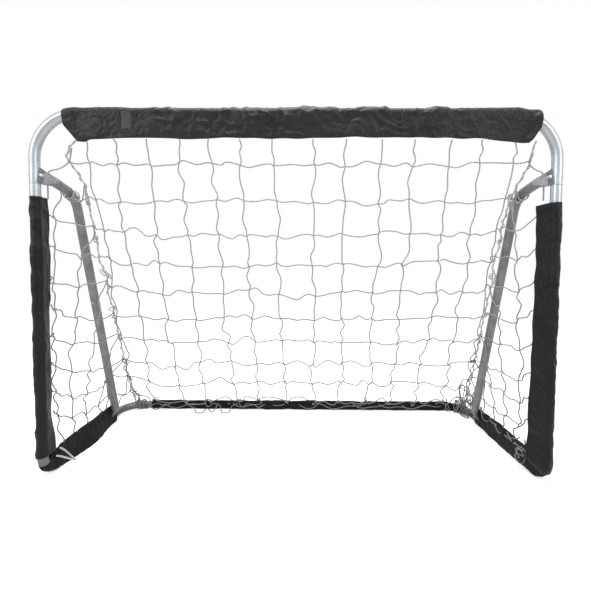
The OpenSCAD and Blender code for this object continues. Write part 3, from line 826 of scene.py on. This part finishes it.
    def rear(self) -> Sleeve:
        """The rear bar's sleeve, wrapped closely and drawn into the right bend."""
        z = self.sizes
        straight = z.post_x - z.rear_bend_r
        run = np.arange(self.rear_start, straight + self.rear_wrap * z.rear_bend_r, self.step)
        a = np.maximum(run - straight, 0) / z.rear_bend_r
        across = np.minimum(run, straight) + z.rear_bend_r * np.sin(a)
        centre = rows_of(across, z.rear_y - z.rear_bend_r * (1 - np.cos(a)), z.base_z)
        way = unit(UP - 0.6 * rows_of(np.sin(a), np.cos(a), 0))
        flap = self.rear_flap * (1 - 0.3 * smooth(0, 0.6, a))
        return Sleeve(
            "rear_bar", None, ("rear_bar_middle_tube", "rear_corner_tube_left", "rear_corner_tube_right"),
            SleevePath(centre, rows_of(np.cos(a), -np.sin(a), 0), way, flap), self.fabrics[FabricPaintedLight.BASE],
            tube_gap=0.0030, crease=0.0020, sway=0.002, seed=41, around=60,
        )

    def closure_tape(self, sleeve: Sleeve) -> None:
        """Builds the strip of loop tape on the front of the crossbar's sleeve.

        Args:
            sleeve: the sleeve that it is sewn on.
        """
        grid = sleeve.surface(self.sizes.tube_r, lift=self.tape_wall / 2)
        run, (start, end) = sleeve.path.run, self.tape_run
        part = grid[np.flatnonzero((run >= start) & (run <= end))][:, self._front_ring(grid)]
        piece = sheet_object("crossbar_closure_tape", part, False, self.tape)
        thicken(piece, self.tape_wall, 0.0)
        outwards(piece)
        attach(piece, "goal_frame")

    def _front_ring(self, grid: np.ndarray) -> np.ndarray:
        """Numbers of the section's points that face forwards and lie under the tape."""
        middle = grid[len(grid) // 8]
        drop = middle[:, 2].max() - middle[:, 2]
        front = middle[:, 1] < np.median(middle[:, 1]) - 0.0005
        return np.flatnonzero(front & (drop > self.tape_drop[0]) & (drop < self.tape_drop[1]))

    def build(self) -> None:
        """Builds every sleeve and the closure tape."""
        bar = self.crossbar()
        for sleeve in (bar, *(self.post(s) for s in Side), *(self.side_bar(s) for s in Side), self.rear()):
            piece = sleeve.build(self.sizes)
            LOG.info("%s: %d faces", piece.name, len(piece.data.polygons))
        self.closure_tape(bar)


# --- cords and net


def cord_tree() -> Any:
    """Geometry nodes that turn chains of edges into smooth round cords with a UV map in metres.

    Returns:
        The node group, with inputs Radius and Ring Spacing.
    """
    tree = bpy.data.node_groups.new("cord_from_chain", "GeometryNodeTree")
    face = tree.interface
    face.new_socket("Chain", in_out="INPUT", socket_type="NodeSocketGeometry")
    for name in ("Radius", "Ring Spacing"):
        face.new_socket(name, in_out="INPUT", socket_type="NodeSocketFloat")
    face.new_socket("Cord", in_out="OUTPUT", socket_type="NodeSocketGeometry")
    given = add(tree, "NodeGroupInput").outputs
    curve = add(tree, "GeometryNodeMeshToCurve", {0: given["Chain"]}).outputs[0]
    curve = add(tree, "GeometryNodeCurveSplineType", {0: curve}, spline_type="CATMULL_ROM").outputs[0]
    curve = add(tree, "GeometryNodeSetSplineResolution", {0: curve, "Resolution": 6}).outputs[0]
    curve = add(tree, "GeometryNodeResampleCurve", {0: curve, 3: given["Ring Spacing"]}, mode="LENGTH").outputs[0]
    ring = add(tree, "GeometryNodeCurvePrimitiveCircle", {0: 8, 4: given["Radius"]}).outputs[0]
    kept = []
    for line, name, measure in ((curve, "along", "Length"), (ring, "turn", "Factor")):
        node = add(tree, "GeometryNodeCaptureAttribute", {0: line})
        node.capture_items.new("FLOAT", name)
        tree.links.new(add(tree, "GeometryNodeSplineParameter").outputs[measure], node.inputs[name])
        kept.append(node.outputs)
    shape = {"Curve": kept[0][0], "Profile Curve": kept[1][0], "Fill Caps": True}
    tube = add(tree, "GeometryNodeCurveToMesh", shape).outputs[0]
    uv = add(tree, "ShaderNodeCombineXYZ", {"X": kept[1]["turn"], "Y": kept[0]["along"]}).outputs[0]
    inputs = {0: tube, 2: "cord_uv", 3: uv}
    named = add(tree, "GeometryNodeStoreNamedAttribute", inputs, data_type="FLOAT2", domain="CORNER")
    add(tree, "NodeGroupOutput", {0: named.outputs[0]})
    return tree


@dataclass
class CordMaker:
    """Turns chains of points into cord pieces."""

    net_finish: Any
    tie_finish: Any
    cord_r: float = 0.0028
    tree: Any = field(default_factory=cord_tree)

    def build(
        self,
        name: str,
        node: str,
        chains: Sequence[np.ndarray],
        side: Optional[Side] = None,
        spacing: float = 0.004,
        thick: float = 1.0,
        bright: bool = False,
    ) -> None:
        """Makes one piece of cords.

        Args:
            name: the piece's name, without its side.
            node: the CAD node that it stands for, without its side; empty if there is none.
            chains: the points of each cord.
            side: the side whose name ends both names.
            spacing: distance between rings of the tube.
            thick: thickness as a share of the net's cord.
            bright: whether it gets the ties' whiter copy of the cord, rather than the net's copy greyed with painted
                shade.
        """
        tail = f"_{side.tag}" if side else ""
        edges, start = [], 0
        for chain in chains:
            edges += [(start + i, start + i + 1) for i in range(len(chain) - 1)]
            start += len(chain)
        piece = mesh_object(name + tail, np.vstack(chains), [], edges)
        cords = piece.modifiers.new("cords", "NODES")
        cords.node_group = self.tree
        ids = {item.name: item.identifier for item in self.tree.interface.items_tree}
        cords[ids["Radius"]], cords[ids["Ring Spacing"]] = self.cord_r * thick, spacing
        bake(piece)
        piece.data.uv_layers["cord_uv"].active_render = True
        piece.data.materials.append(self.tie_finish if bright else self.net_finish)
        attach(piece, "goal_frame")
        if node:
            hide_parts(node + tail)
        LOG.info("%s: %d faces", piece.name, len(piece.data.polygons))


@dataclass
class RopeNet:
    """Knots and the cords between them, hung until they rest."""

    STEP = 0.0015  # seconds
    DAMPING = 0.96  # share of its speed that a point keeps
    ROUNDS = 26  # corrections of length in each step
    PULL = 1.6  # how far past its length a link is corrected
    STIFF = 0.04  # how much a cord straightens in each round

    parts: int = 6  # links between two knots
    points: list = field(default_factory=list)
    held: list = field(default_factory=list)
    links: list = field(default_factory=list)
    bends: list = field(default_factory=list)
    kinks: list = field(default_factory=list)

    def knot(self, place: Sequence[float], held: bool = False) -> int:
        """Adds a knot and returns its number."""
        self.points.append(np.array(place, float))
        self.held.append(held)
        return len(self.points) - 1

    def cord(self, a: int, b: int, slack: float, kink: float) -> list[int]:
        """Adds a cord between two knots.

        Args:
            a: the first knot.
            b: the last knot.
            slack: spare length as a share of the straight distance.
            kink: how far the stiff cord snakes to each side between its knots.

        Returns:
            The numbers of the points along the cord.
        """
        chain = [a]
        for i in range(1, self.parts):
            chain.append(self.knot(self.points[a] + (self.points[b] - self.points[a]) * i / self.parts))
        chain.append(b)
        rest = float(np.linalg.norm(self.points[b] - self.points[a])) * (1 + slack) / self.parts
        self.links += [(chain[i], chain[i + 1], rest) for i in range(self.parts)]
        self.bends += [(chain[i - 1], chain[i], chain[i + 1]) for i in range(1, self.parts)]
        self.kinks.append((chain, kink))
        return chain

    def hang(self, steps: int, clear: Callable[[np.ndarray], np.ndarray]) -> np.ndarray:
        """Lets the net hang, then gives each cord its own snaking line.

        Args:
            steps: how many steps of gravity it gets.
            clear: moves points out of what they must not enter.

        Returns:
            The resting points.
        """
        x = np.array(self.points)
        first = x.copy()
        held = np.array(self.held)
        a, b = np.array([(link[0], link[1]) for link in self.links]).T
        rest = np.array([link[2] for link in self.links])
        p, q, r = np.array(self.bends).T
        count = np.bincount(np.concatenate([a, b]), minlength=len(x)).astype(float)[:, None]
        old = x.copy()
        for _ in range(steps):
            move = (x - old) * self.DAMPING
            old = x.copy()
            x = x + move - UP * GRAVITY * self.STEP**2
            for _ in range(self.ROUNDS):
                d = x[b] - x[a]
                length = np.maximum(np.linalg.norm(d, axis=1), 1e-9)
                pull = (np.maximum(length - rest, 0) / length * 0.5)[:, None] * d
                shift = np.zeros_like(x)
                np.add.at(shift, a, pull)
                np.add.at(shift, b, -pull)
                x = x + self.PULL * shift / np.maximum(count, 1)
                x[q] += self.STIFF * ((x[p] + x[r]) / 2 - x[q])
                x[held] = first[held]
            x = clear(x)
            x[held] = first[held]
        rng = np.random.default_rng(9)
        share = np.linspace(0, 1, self.parts + 1)[:, None]
        for chain, kink in self.kinks:
            snake = sum(np.sin(k * math.pi * share) * rng.normal(0, kink / k**0.5, 3) for k in (1, 2, 3))
            x[chain] += snake
        return clear(x)


def tangle(centre: Sequence[float], reach: Sequence[float], turns: float, seed: int) -> np.ndarray:
    """Winds one loose cord about a place.

    Args:
        centre: the middle of the tangle.
        reach: about how far it spreads along each axis.
        turns: how many loops it makes.
        seed: picks the tangle.

    Returns:
        The cord's points, none below the ground.
    """
    rng = np.random.default_rng(seed)
    t = np.linspace(0, math.tau * turns, int(26 * turns))[:, None]
    path = sum(
        rng.normal(0, 1, 3) * np.sin(wave * t + rng.uniform(0, math.tau, 3)) / (0.5 + wave) for wave in (1, 0.63, 1.7)
    )
    points = np.array(centre) + path * np.array(reach)
    points[:, 2] = np.maximum(points[:, 2], 0.004)
    return points


@dataclass(frozen=True)
class SideNet:
    """Where one side of the net is tied, in metres; x counts outwards from the goal's middle."""

    seam: Sequence[tuple[float, float, float]]  # x, y, z down the seam between the back and the side
    front_x: float  # the post's flap, where the side is sewn on
    front_y: float
    front_z: Sequence[float]  # heights of its rows on that flap
    columns: Sequence[float]  # y of its upright cords
    turns: int  # loops of the lashing at the rear corner
    wrap: float  # how far round the bend they sit, in radians
    loose: float  # how far the loosest stands off the tube
    bundle: tuple  # the tangled cord there: how many, middle, reach, turns, first seed


SIDE_NETS = {
    Side.LEFT: SideNet(
        seam=(
            (0.887, -0.347, 1.393), (0.957, -0.293, 1.338), (0.919, -0.242, 1.250), (0.921, -0.198, 1.159),
            (0.935, -0.147, 1.043), (0.932, -0.114, 0.971), (0.911, -0.047, 0.717), (0.923, 0.084, 0.408),
            (0.956, 0.212, 0.217), (0.960, 0.315, 0.060),
        ),
        front_x=1.043,
        front_y=-0.292,
        front_z=(1.106, 0.980, 0.841, 0.718, 0.595, 0.474, 0.353, 0.262),
        columns=(-0.266, -0.163, -0.066, 0.024, 0.112, 0.200),
        turns=5, wrap=0.30, loose=0.010,
        bundle=(2, (-0.962, 0.325, 0.050), (0.020, 0.016, 0.028), 1.2, 121),
    ),
    Side.RIGHT: SideNet(
        seam=(
            (0.958, -0.350, 1.396), (0.984, -0.296, 1.341), (0.965, -0.252, 1.270), (0.946, -0.191, 1.144),
            (0.953, -0.125, 0.992), (0.949, -0.051, 0.728), (0.970, 0.080, 0.421), (1.000, 0.190, 0.240),
            (1.012, 0.273, 0.070),
        ),
        front_x=1.012,
        front_y=-0.300,
        front_z=(1.108, 0.968, 0.839, 0.710, 0.579, 0.452, 0.350, 0.247),
        columns=(-0.195, -0.098, 0.000, 0.092, 0.185),
        turns=9, wrap=1.05, loose=0.030,
        bundle=(5, (1.004, 0.276, 0.072), (0.028, 0.022, 0.050), 1.4, 101),
    ),
}  # fmt: skip


@dataclass
class NetPlan:
    """Where the net's knots sit and how its cords run, in metres."""

    sizes: GoalSizes
    cords: CordMaker
    net_spacing: float = 0.0065  # between the rings of the net's cords
    strut_gap: float = 0.0012  # from a side panel's cords to the strut
    lash_gap: float = 0.001  # from a lashing to the rear bar
    lash_slide: float = 0.014  # how far a loop of the lashing runs along the bar
    flap_l: float = 0.47  # from a post back to the end of the side bar's flap
    flap_tie: tuple[float, float] = (0.024, 0.086)  # where the side is sewn to that flap: inwards and up
    bar_tie: float = 0.026  # and behind the flap: up from the side bar's middle
    slack_up: tuple[float, float] = (0.0, 0.010)  # spare lengths: the back's uprights
    slack_across: tuple[float, float] = (0.008, 0.034)  # the back's rows
    slack_side: tuple[float, float] = (0.02, 0.10)  # a side's rows
    slack_column: tuple[float, float] = (0.01, 0.07)  # a side's uprights
    side_kink: float = 0.006
    seam_top: float = 1.393  # height of the seam's first point
    seam_points: int = 150
    seam_sway: float = 0.004  # how far the seam's rope waves
    lace_turn: float = 0.055  # length of one turn of the lace round a seam
    lace_out: tuple[float, float] = (0.0055, 0.0025)  # how far the lace stands off the rope, and how much that varies
    seam_loop: tuple = ((0.012, 0.010, 0.015), 1.2)  # reach and turns of each tangled loop on a seam
    ring_places: tuple[float, float] = (0.82, 1.00)  # rings on the strut's short arm, as shares of its length
    ring_turns: float = 1.15  # how far each ring goes round
    ring_gap: tuple[float, float] = (0.0008, 0.0012)  # from the first ring to the strut, and more for the second
    ring_lean: float = 0.012
    ring_pitch: float = 0.004  # how far a turn moves along the arm
    link_ends: tuple[float, float] = (1.19, 1.24)  # heights where the rings' cords reach the seam
    link_droop: tuple[float, float] = (0.012, 0.004)
    rear_in: float = 0.030  # from the rear bar's middle to the net's last row
    lacing_gap: float = 0.0050  # from the lacing to the rear bar
    lacing_droop: float = 0.055  # how far its slack part hangs off the bar
    # Share of that droop, by distance from the goal's middle
    lacing_slack: tuple = ((-0.88, -0.80, -0.35, -0.15), (0.3, 1.0, 0.8, 0.0))
    settle: int = 190  # steps of gravity
    shake: Sequence[float] = (0.0084, 0.0049, 0.0077)  # how far knots lie off their even places, in x, y and z
    # Places of the upright cords across the back, at the top and on the rear bar
    top_x: Sequence[float] = (
        -0.837, -0.727, -0.595, -0.461, -0.345, -0.221, -0.090, 0.075, 0.208, 0.350, 0.481, 0.629, 0.749, 0.887,
    )  # fmt: skip
    low_x: Sequence[float] = (
        -0.943, -0.818, -0.655, -0.515, -0.337, -0.208, -0.047, 0.114, 0.268, 0.420, 0.551, 0.710, 0.863, 0.985,
    )  # fmt: skip
    # y and z of the back's rows of knots, from the crossbar's sleeve down to the rear bar
    back_rows: Sequence[tuple[float, float]] = (
        (-0.354, 1.400), (-0.285, 1.331), (-0.217, 1.202), (-0.158, 1.068), (-0.098, 0.935), (-0.066, 0.792),
        (-0.031, 0.650), (0.043, 0.524), (0.092, 0.387), (0.177, 0.267), (0.260, 0.147), (0.327, 0.050),
    )  # fmt: skip

    def seam_place(self, side: Side, height: float) -> np.ndarray:
        """The point of a side's seam at a height."""
        x, y, z = np.array(SIDE_NETS[side].seam)[::-1].T
        return np.array([side.value * np.interp(height, z, x), np.interp(height, z, y), height])

    def rear_place(self, x: float) -> np.ndarray:
        """The point on the rear bar's flap at a distance from the goal's middle."""
        z = self.sizes
        over = max(abs(x) - (z.post_x - z.rear_bend_r), 0) / z.rear_bend_r
        y = z.rear_y - z.rear_bend_r * (1 - math.sqrt(1 - over**2)) - self.rear_in
        return np.array([x, y, self.back_rows[-1][1]])

    def outside(self, x: np.ndarray, keep_out: float, mask: np.ndarray) -> np.ndarray:
        """Moves the masked points out of the struts."""
        for side in Side:
            axis = self.sizes.strut_axis(side)
            for p, q in zip(axis[:-1], axis[1:]):
                d = q - p
                t = np.clip((x - p) @ d / (d @ d), 0, 1)
                near = p + t[:, None] * d
                away = x - near
                gap = np.maximum(np.linalg.norm(away, axis=1), 1e-6)
                hit = (gap < keep_out) & mask
                x[hit] = near[hit] + away[hit] / gap[hit, None] * keep_out
        return x

    def build(self) -> None:
        """Builds the back, the side panels, the seams, the ties and the lashings."""
        net = RopeNet()
        rng = np.random.default_rng(5)
        rows = len(self.back_rows)
        grid, seams = [], {side: [] for side in Side}
        for j, (y, height) in enumerate(self.back_rows):
            row = []
            for top, low in zip(self.top_x, self.low_x):
                edge = j in (0, rows - 1)
                drop = (self.back_rows[0][1] - height) / self.back_rows[0][1]
                place = np.array([top + (low - top) * drop, y, height])
                if j == rows - 1:
                    place = self.rear_place(low)
                shake = np.zeros(3) if edge else rng.normal(0, 1, 3) * self.shake
                row.append(net.knot(place + shake, held=edge))
            grid.append(row)
            for side in Side:
                seams[side].append(net.knot(self.seam_place(side, height + float(rng.normal(0, 0.006))), held=True))

        def slack(limits: tuple[float, float]) -> float:
            """A spare length between two limits."""
            return float(rng.uniform(*limits))

        uprights = [
            [net.cord(grid[j][i], grid[j + 1][i], slack(self.slack_up), 0.0040 + 0.0004 * j) for j in range(rows - 1)]
            for i in range(len(self.top_x))
        ]
        across = []
        for j in range(1, rows - 1):
            ends = [seams[Side.LEFT][j], *grid[j], seams[Side.RIGHT][j]]
            kink = 0.0046 + 0.0006 * j
            across.append([net.cord(a, b, slack(self.slack_across), kink) for a, b in zip(ends[:-1], ends[1:])])
        first_side = len(net.points)
        panels = {side: self._panel(net, side, seams[side], slack) for side in Side}
        mask = np.arange(len(net.points)) >= first_side
        keep_out = self.sizes.tube_r + self.cords.cord_r + self.strut_gap

        def clear(x: np.ndarray) -> np.ndarray:
            """Keeps the side panels outside the struts and everything above the ground."""
            x = self.outside(x, keep_out, mask)
            x[:, 2] = np.maximum(x[:, 2], self.cords.cord_r)
            return x

        x = net.hang(self.settle, clear)

        def join(pieces: Sequence[list[int]]) -> np.ndarray:
            """The points of several cords that follow one another."""
            return x[[n for piece in pieces for n in piece[:-1]] + [pieces[-1][-1]]]

        back = [join(c) for c in (*uprights, *across)]
        self.cords.build("back_cord_net", "back_net", back, spacing=self.net_spacing)
        for side in Side:
            self.cords.build("side_cord_net", "side_net", [join(c) for c in panels[side]], side, self.net_spacing)
            self._seam(side, x[seams[side]])
            self._ties(side)
            self._front_tie(side)
            self._rear_lashing(side)
        self._rear_lacing()

    def _panel(self, net: RopeNet, side: Side, seam: list[int], slack: Callable[[tuple], float]) -> list:
        """Adds one side panel to the net.

        Args:
            net: the net that it joins.
            side: which side.
            seam: the knots of the back's seam on that side, from the top down.
            slack: gives a spare length between two limits.

        Returns:
            The cords, each a list of chains that follow one another.
        """
        z, sign, plan = self.sizes, side.value, SIDE_NETS[side]
        axis = z.strut_axis(side)
        outer = z.strut_x + z.tube_r + 2 * self.cords.cord_r
        inner_seam = seam[len(self.back_rows) - 1 - len(plan.front_z) : -1]
        levels = []
        for front_z, corner in zip(plan.front_z, inner_seam):
            end = net.points[corner]
            strut_y = float(np.interp(-end[2], -axis[:, 2], axis[:, 1]))
            knots = {plan.front_y: net.knot((sign * plan.front_x, plan.front_y, front_z), held=True)}
            for y in plan.columns:
                if y < end[1] - 0.035:
                    wide = np.interp(
                        y, [plan.front_y, plan.front_y + 0.06, strut_y + 0.02, max(end[1], strut_y + 0.03)],
                        [plan.front_x, outer, outer, abs(end[0])],
                    )  # fmt: skip
                    height = np.interp(y, [plan.front_y, end[1]], [front_z, end[2]])
                    knots[y] = net.knot((sign * wide, y, height))
            knots[end[1]] = corner
            levels.append(knots)
        lines = [(list(knots.values()), self.slack_side) for knots in levels]
        for y in plan.columns:
            line = [knots[y] for knots in levels if y in knots]
            if y < axis[1, 1]:
                arm_z = float(np.interp(y, axis[:2, 1], axis[:2, 2])) - z.tube_r
                top = net.knot((sign * z.strut_x, y, arm_z), held=True)
            else:
                high = net.points[line[0]]
                top = min(seam, key=lambda n: abs(net.points[n][1] - y) + abs(net.points[n][2] - high[2] - 0.1))
            inwards, up = self.flap_tie if y < z.post_y + self.flap_l else (0.0, self.bar_tie)
            foot = net.knot((sign * (z.post_x - inwards), y, z.base_z + up), held=True)
            lines.append(([top, *line, foot], self.slack_column))
        chains = []
        for line, limits in lines:
            chains.append([net.cord(a, b, slack(limits), self.side_kink) for a, b in zip(line[:-1], line[1:])])
        return chains

    def _seam(self, side: Side, knots: np.ndarray) -> None:
        """Builds the doubled cord along a back seam, one strand laced round the other."""
        heights = np.linspace(self.seam_top, knots[-1][2], self.seam_points)
        seam = np.array([self.seam_place(side, h) for h in heights])
        run = np.concatenate([[0], np.cumsum(np.linalg.norm(np.diff(seam, axis=0), axis=1))])
        waves = [ripple(run, 0 * run, 0.16, 51 + k + side.value) for k in range(3)]
        rope = seam + np.column_stack(waves) * self.seam_sway
        turn = run / self.lace_turn * math.tau
        wide = self.lace_out[0] + self.lace_out[1] * ripple(run, 0 * run, 0.1, 57 + side.value)
        lace = rope + np.column_stack([np.cos(turn) * wide, np.sin(turn) * wide, 0 * turn])
        loops = [tangle(rope[n], *self.seam_loop, 71 + n) for n in range(24, self.seam_points, 19)]
        self.cords.build("back_seam_rope", "back_seam_cord", [rope, lace, *loops], side, 0.005, bright=True)

    def _ties(self, side: Side) -> None:
        """Builds the cords that tie a seam to the strut's bolt, the post and the strut's bend."""
        z, sign = self.sizes, side.value
        start = self.seam_place(side, 1.372)
        branch = self.seam_place(side, 1.327)
        bolt = np.array([sign * (z.strut_x + 0.006), z.post_y + 0.034, z.bolt_z + 0.024])
        under = np.array([sign * (z.strut_x + z.tube_r + 0.004), z.post_y + 0.050, z.bolt_z - 0.012])
        flap = np.array([sign * (z.post_x - 0.004), z.post_y + 0.066, 1.170])
        chain = np.vstack([start, branch, (branch + bolt) / 2 - UP * 0.008, bolt, under, flap])
        self.cords.build("corner_tie", "side_top_cord", [chain], side, thick=1.1)
        axis = z.strut_axis(side)
        arm = axis[4] - axis[0]
        way = unit(arm)
        a, b = unit(np.cross(way, UP)), unit(np.cross(way, np.cross(way, UP)))
        turn = np.linspace(0, math.tau * self.ring_turns, 26)[:, None]
        rings = []
        for n, place in enumerate(self.ring_places):
            r = z.tube_r + self.cords.cord_r + self.ring_gap[0] + self.ring_gap[1] * n
            round_arm = axis[0] + arm * place + a * r * np.cos(turn) + b * r * np.sin(turn)
            lean = way * self.ring_lean * np.sin(turn + n)
            rings.append(round_arm + lean + way * self.ring_pitch * turn / math.tau)
        links = []
        for ring, height, droop in zip(rings, self.link_ends, self.link_droop):
            middle = (ring[-1] + self.seam_place(side, self.link_ends[0])) / 2 - UP * droop
            links.append(np.vstack([ring[-1], middle, self.seam_place(side, height)]))
        self.cords.build("strut_bend_tie", "strut_tie", [*rings, *links], side)

    def _front_tie(self, side: Side) -> None:
        """Builds the cord tied at the front corner, against the side bar's sleeve."""
        z, sign = self.sizes, side.value
        if side is Side.LEFT:
            chains = [
                np.array([
                    (-0.990, -0.330, 0.118), (-0.986, -0.312, 0.100), (-0.982, -0.290, 0.072), (-0.978, -0.268, 0.042),
                    (-0.975, -0.254, 0.022), (-0.976, -0.272, 0.034), (-0.980, -0.300, 0.056), (-0.985, -0.330, 0.080),
                    (-0.990, -0.350, 0.094),
                ])
            ]  # fmt: skip
        else:
            chains = [tangle((0.998, -0.262, 0.078), (0.010, 0.022, 0.034), 1.3, 81 + n) for n in range(2)]
            chains += [
                tangle((sign * (z.post_x - 0.030), y, 0.104), (0.010, 0.055, 0.030), 0.8, 91 + n)
                for n, y in enumerate((-0.16, -0.05, 0.04, 0.15))
            ]
        left = side is Side.LEFT
        self.cords.build("front_corner_tie", "front_tie", chains, side, 0.003, 1.3 if left else 1.0, bright=left)

    def _rear_lashing(self, side: Side) -> None:
        """Builds the loops gathered where the net meets a rear corner."""
        z, plan = self.sizes, SIDE_NETS[side]
        rng = np.random.default_rng(61 + side.value)
        middle = np.array([z.post_x - z.rear_bend_r, z.rear_y - z.rear_bend_r, z.base_z])
        base = z.tube_r + 2 * self.cords.cord_r + self.lash_gap
        t = np.linspace(0, math.tau * 1.05, 24)
        loops = []
        for _ in range(plan.turns):
            over = rng.uniform(-0.20, plan.wrap)
            out = np.array([math.sin(max(over, 0)), math.cos(over), 0.0])
            way = np.array([math.cos(over), -math.sin(max(over, 0)), 0.0])
            centre = middle + out * z.rear_bend_r + way * min(over, 0) * z.rear_bend_r
            big = rng.uniform(0.0, plan.loose)
            r = base + big * (0.5 + 0.5 * np.sin(t + rng.uniform(0, math.tau)))
            slide = self.lash_slide * np.sin(t + rng.uniform(0, math.tau))
            ring = centre - np.outer(np.cos(t) * r, out) + np.outer(np.sin(t) * r, UP) + np.outer(slide, way)
            ring[:, 0] *= side.value
            ring[:, 1] = np.minimum(ring[:, 1], z.rear_y + base)
            ring[:, 2] = np.maximum(ring[:, 2], self.cords.cord_r)
            loops.append(ring)
        count, *bundle, seed = plan.bundle
        loops += [tangle(*bundle, seed + n) for n in range(count)]
        self.cords.build("rear_corner_lashing", "rear_lashing", loops, side)

    def _rear_lacing(self) -> None:
        """Builds the two cords that lace the net to the rear bar, slack on its left half."""
        z = self.sizes
        xs = np.linspace(self.low_x[0] + 0.06, self.low_x[-2] + 0.03, 420)
        r = z.tube_r + self.lacing_gap + self.cords.cord_r
        loose = np.interp(xs, *self.lacing_slack)
        cords = []
        for seed in (43, 44):
            angle = 0.5 + 0.75 * ripple(xs, 0 * xs, 0.20, seed)
            droop = self.lacing_droop * loose * np.clip(ripple(xs, 0 * xs, 0.10, seed + 2) - 0.1, 0, 1)
            y = z.rear_y - r * np.cos(angle) - droop
            height = np.maximum(z.base_z + r * np.sin(angle) - 0.8 * droop, self.cords.cord_r)
            cords.append(np.column_stack([xs, y, height]))
        self.cords.build("rear_bar_lacing", "", cords, spacing=0.006)


# --- metalwork and studio


@dataclass
class Metalwork:
    """Finishes for the CAD nodes that stay as they are."""

    tube: Any
    # galvanised steel darkened with painted shade, for the front elbows and rear corners
    shade_painted_tube: Any
    paint: Any
    zinc: Any

    def dress(self) -> None:
        """Gives every kept CAD node its material."""
        words = {"strut_upper": self.paint, "strut_lower": self.paint}
        words |= {"bolt": self.zinc, "spring": self.zinc, "front_elbow": self.shade_painted_tube, "rear_corner": self.shade_painted_tube}
        words |= {"tube": self.tube}
        for name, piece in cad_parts.items():
            finish = next((f for word, f in words.items() if word in name), None)
            if finish is not None:
                piece.data.materials.clear()
                piece.data.materials.append(finish)
        LOG.info("metalwork dressed")


@dataclass
class Studio:
    """Floor, light and camera."""

    sizes: GoalSizes
    lens_mm: float = 21.36
    sensor_mm: float = 36.0
    distance: float = 1.418  # from the camera to the plane of the posts
    height: float = 0.914
    offset: float = 0.017
    pitch: float = math.radians(2.504)
    heading: float = math.radians(0.435)
    roll: float = math.radians(-0.26)
    shift_down: float = 0.0324
    soft_light: float = 0.46  # strength of the surroundings as a lamp
    floor_reach: float = 30.0
    floor_drop: float = 0.0004

    def build(self) -> None:
        """Builds the studio."""
        self._floor()
        self._lights()
        self._camera()
        self._world()
        bpy.context.scene.view_settings.view_transform = "Standard"

    def _floor(self) -> None:
        """Lays a wide pale floor."""
        signs = rows_of((-1, 1, 1, -1), (-1, -1, 1, 1), 0)
        floor = mesh_object("studio_floor", signs * self.floor_reach - UP * self.floor_drop, [(0, 1, 2, 3)])
        floor.data.materials.append(StudioFloor().build())

    def _lights(self) -> None:
        """Hangs a wide soft light above and two softer ones in front."""
        lamps = (
            ("overhead_softbox", (0.0, -0.6, 3.6), (0.0, 0.0, 0.3), 2.4, 105.0),
            ("left_softbox", (-3.2, -3.0, 2.2), (0.0, 0.0, 0.6), 2.0, 42.0),
            ("right_softbox", (3.2, -3.0, 2.0), (0.0, 0.0, 0.6), 2.0, 30.0),
        )
        for name, place, aim, size, power in lamps:
            lamp = bpy.data.lights.new(name, "AREA")
            lamp.shape, lamp.size, lamp.energy = "SQUARE", size, power
            piece = bpy.data.objects.new(name, lamp)
            bpy.context.scene.collection.objects.link(piece)
            piece.location = place
            piece.rotation_euler = (Vector(aim) - Vector(place)).to_track_quat("-Z", "Y").to_euler()

    def _camera(self) -> None:
        """Sets the camera low in front of the mouth."""
        data = bpy.data.cameras.new("camera")
        data.lens, data.sensor_width, data.sensor_fit = self.lens_mm, self.sensor_mm, "HORIZONTAL"
        data.shift_y = -self.shift_down
        data.clip_end = 200.0
        camera = bpy.data.objects.new("camera", data)
        bpy.context.scene.collection.objects.link(camera)
        camera.location = (self.offset, self.sizes.post_y - self.distance, self.height)
        camera.rotation_mode = "XYZ"
        camera.rotation_euler = (math.pi / 2 - self.pitch, self.roll, self.heading)
        bpy.context.scene.camera = camera

    def _world(self) -> None:
        """Surrounds the goal with soft light, white where the camera or a reflection looks at it."""
        world = bpy.data.worlds.new("studio")
        bpy.context.scene.world = world
        world.use_nodes = True
        tree = world.node_tree
        tree.nodes.clear()
        path = add(tree, "ShaderNodeLightPath")
        seen = path.outputs["Is Camera Ray"]
        for ray in ("Is Glossy Ray", "Is Transmission Ray"):
            seen = add(tree, "ShaderNodeMath", {0: seen, 1: path.outputs[ray]}, operation="MAXIMUM").outputs[0]
        soft, white = (
            add(tree, "ShaderNodeBackground", {"Color": (1, 1, 1, 1), "Strength": strength}).outputs[0]
            for strength in (self.soft_light, 1.0)
        )
        mix = add(tree, "ShaderNodeMixShader", {0: seen, 1: soft, 2: white})
        add(tree, "ShaderNodeOutputWorld", {"Surface": mix.outputs[0]})


def main() -> None:
    """Builds the goal's looks in order."""
    logging.basicConfig(level=logging.INFO, format="%(message)s")
    sizes = GoalSizes.from_frame()
    Studio(sizes).build()
    # A darker copy of the galvanised finish: painted shade on the low elbows and rear corners
    shade_painted_tube = GalvanisedTube("dulled_galvanised_steel", light="#85888c", dark="#5f6266")
    coats = {coat: coat.value.build() for coat in Coating}
    Metalwork(GalvanisedTube().build(), shade_painted_tube.build(), coats[Coating.POWDER], coats[Coating.ZINC]).dress()
    SleeveSet(sizes, {tone: tone.value.build() for tone in FabricPaintedLight}, coats[Coating.LOOP_TAPE]).build()
    # The ties' copy of the same white cord, lighter than the net's painted-shade copy
    ties = TwistedCord("polyethylene_tie_cord", "#d2d1cd", "#94938f", dust=0.0)
    NetPlan(sizes, CordMaker(TwistedCord().build(), ties.build())).build()


if __name__ == "__main__":
    main()
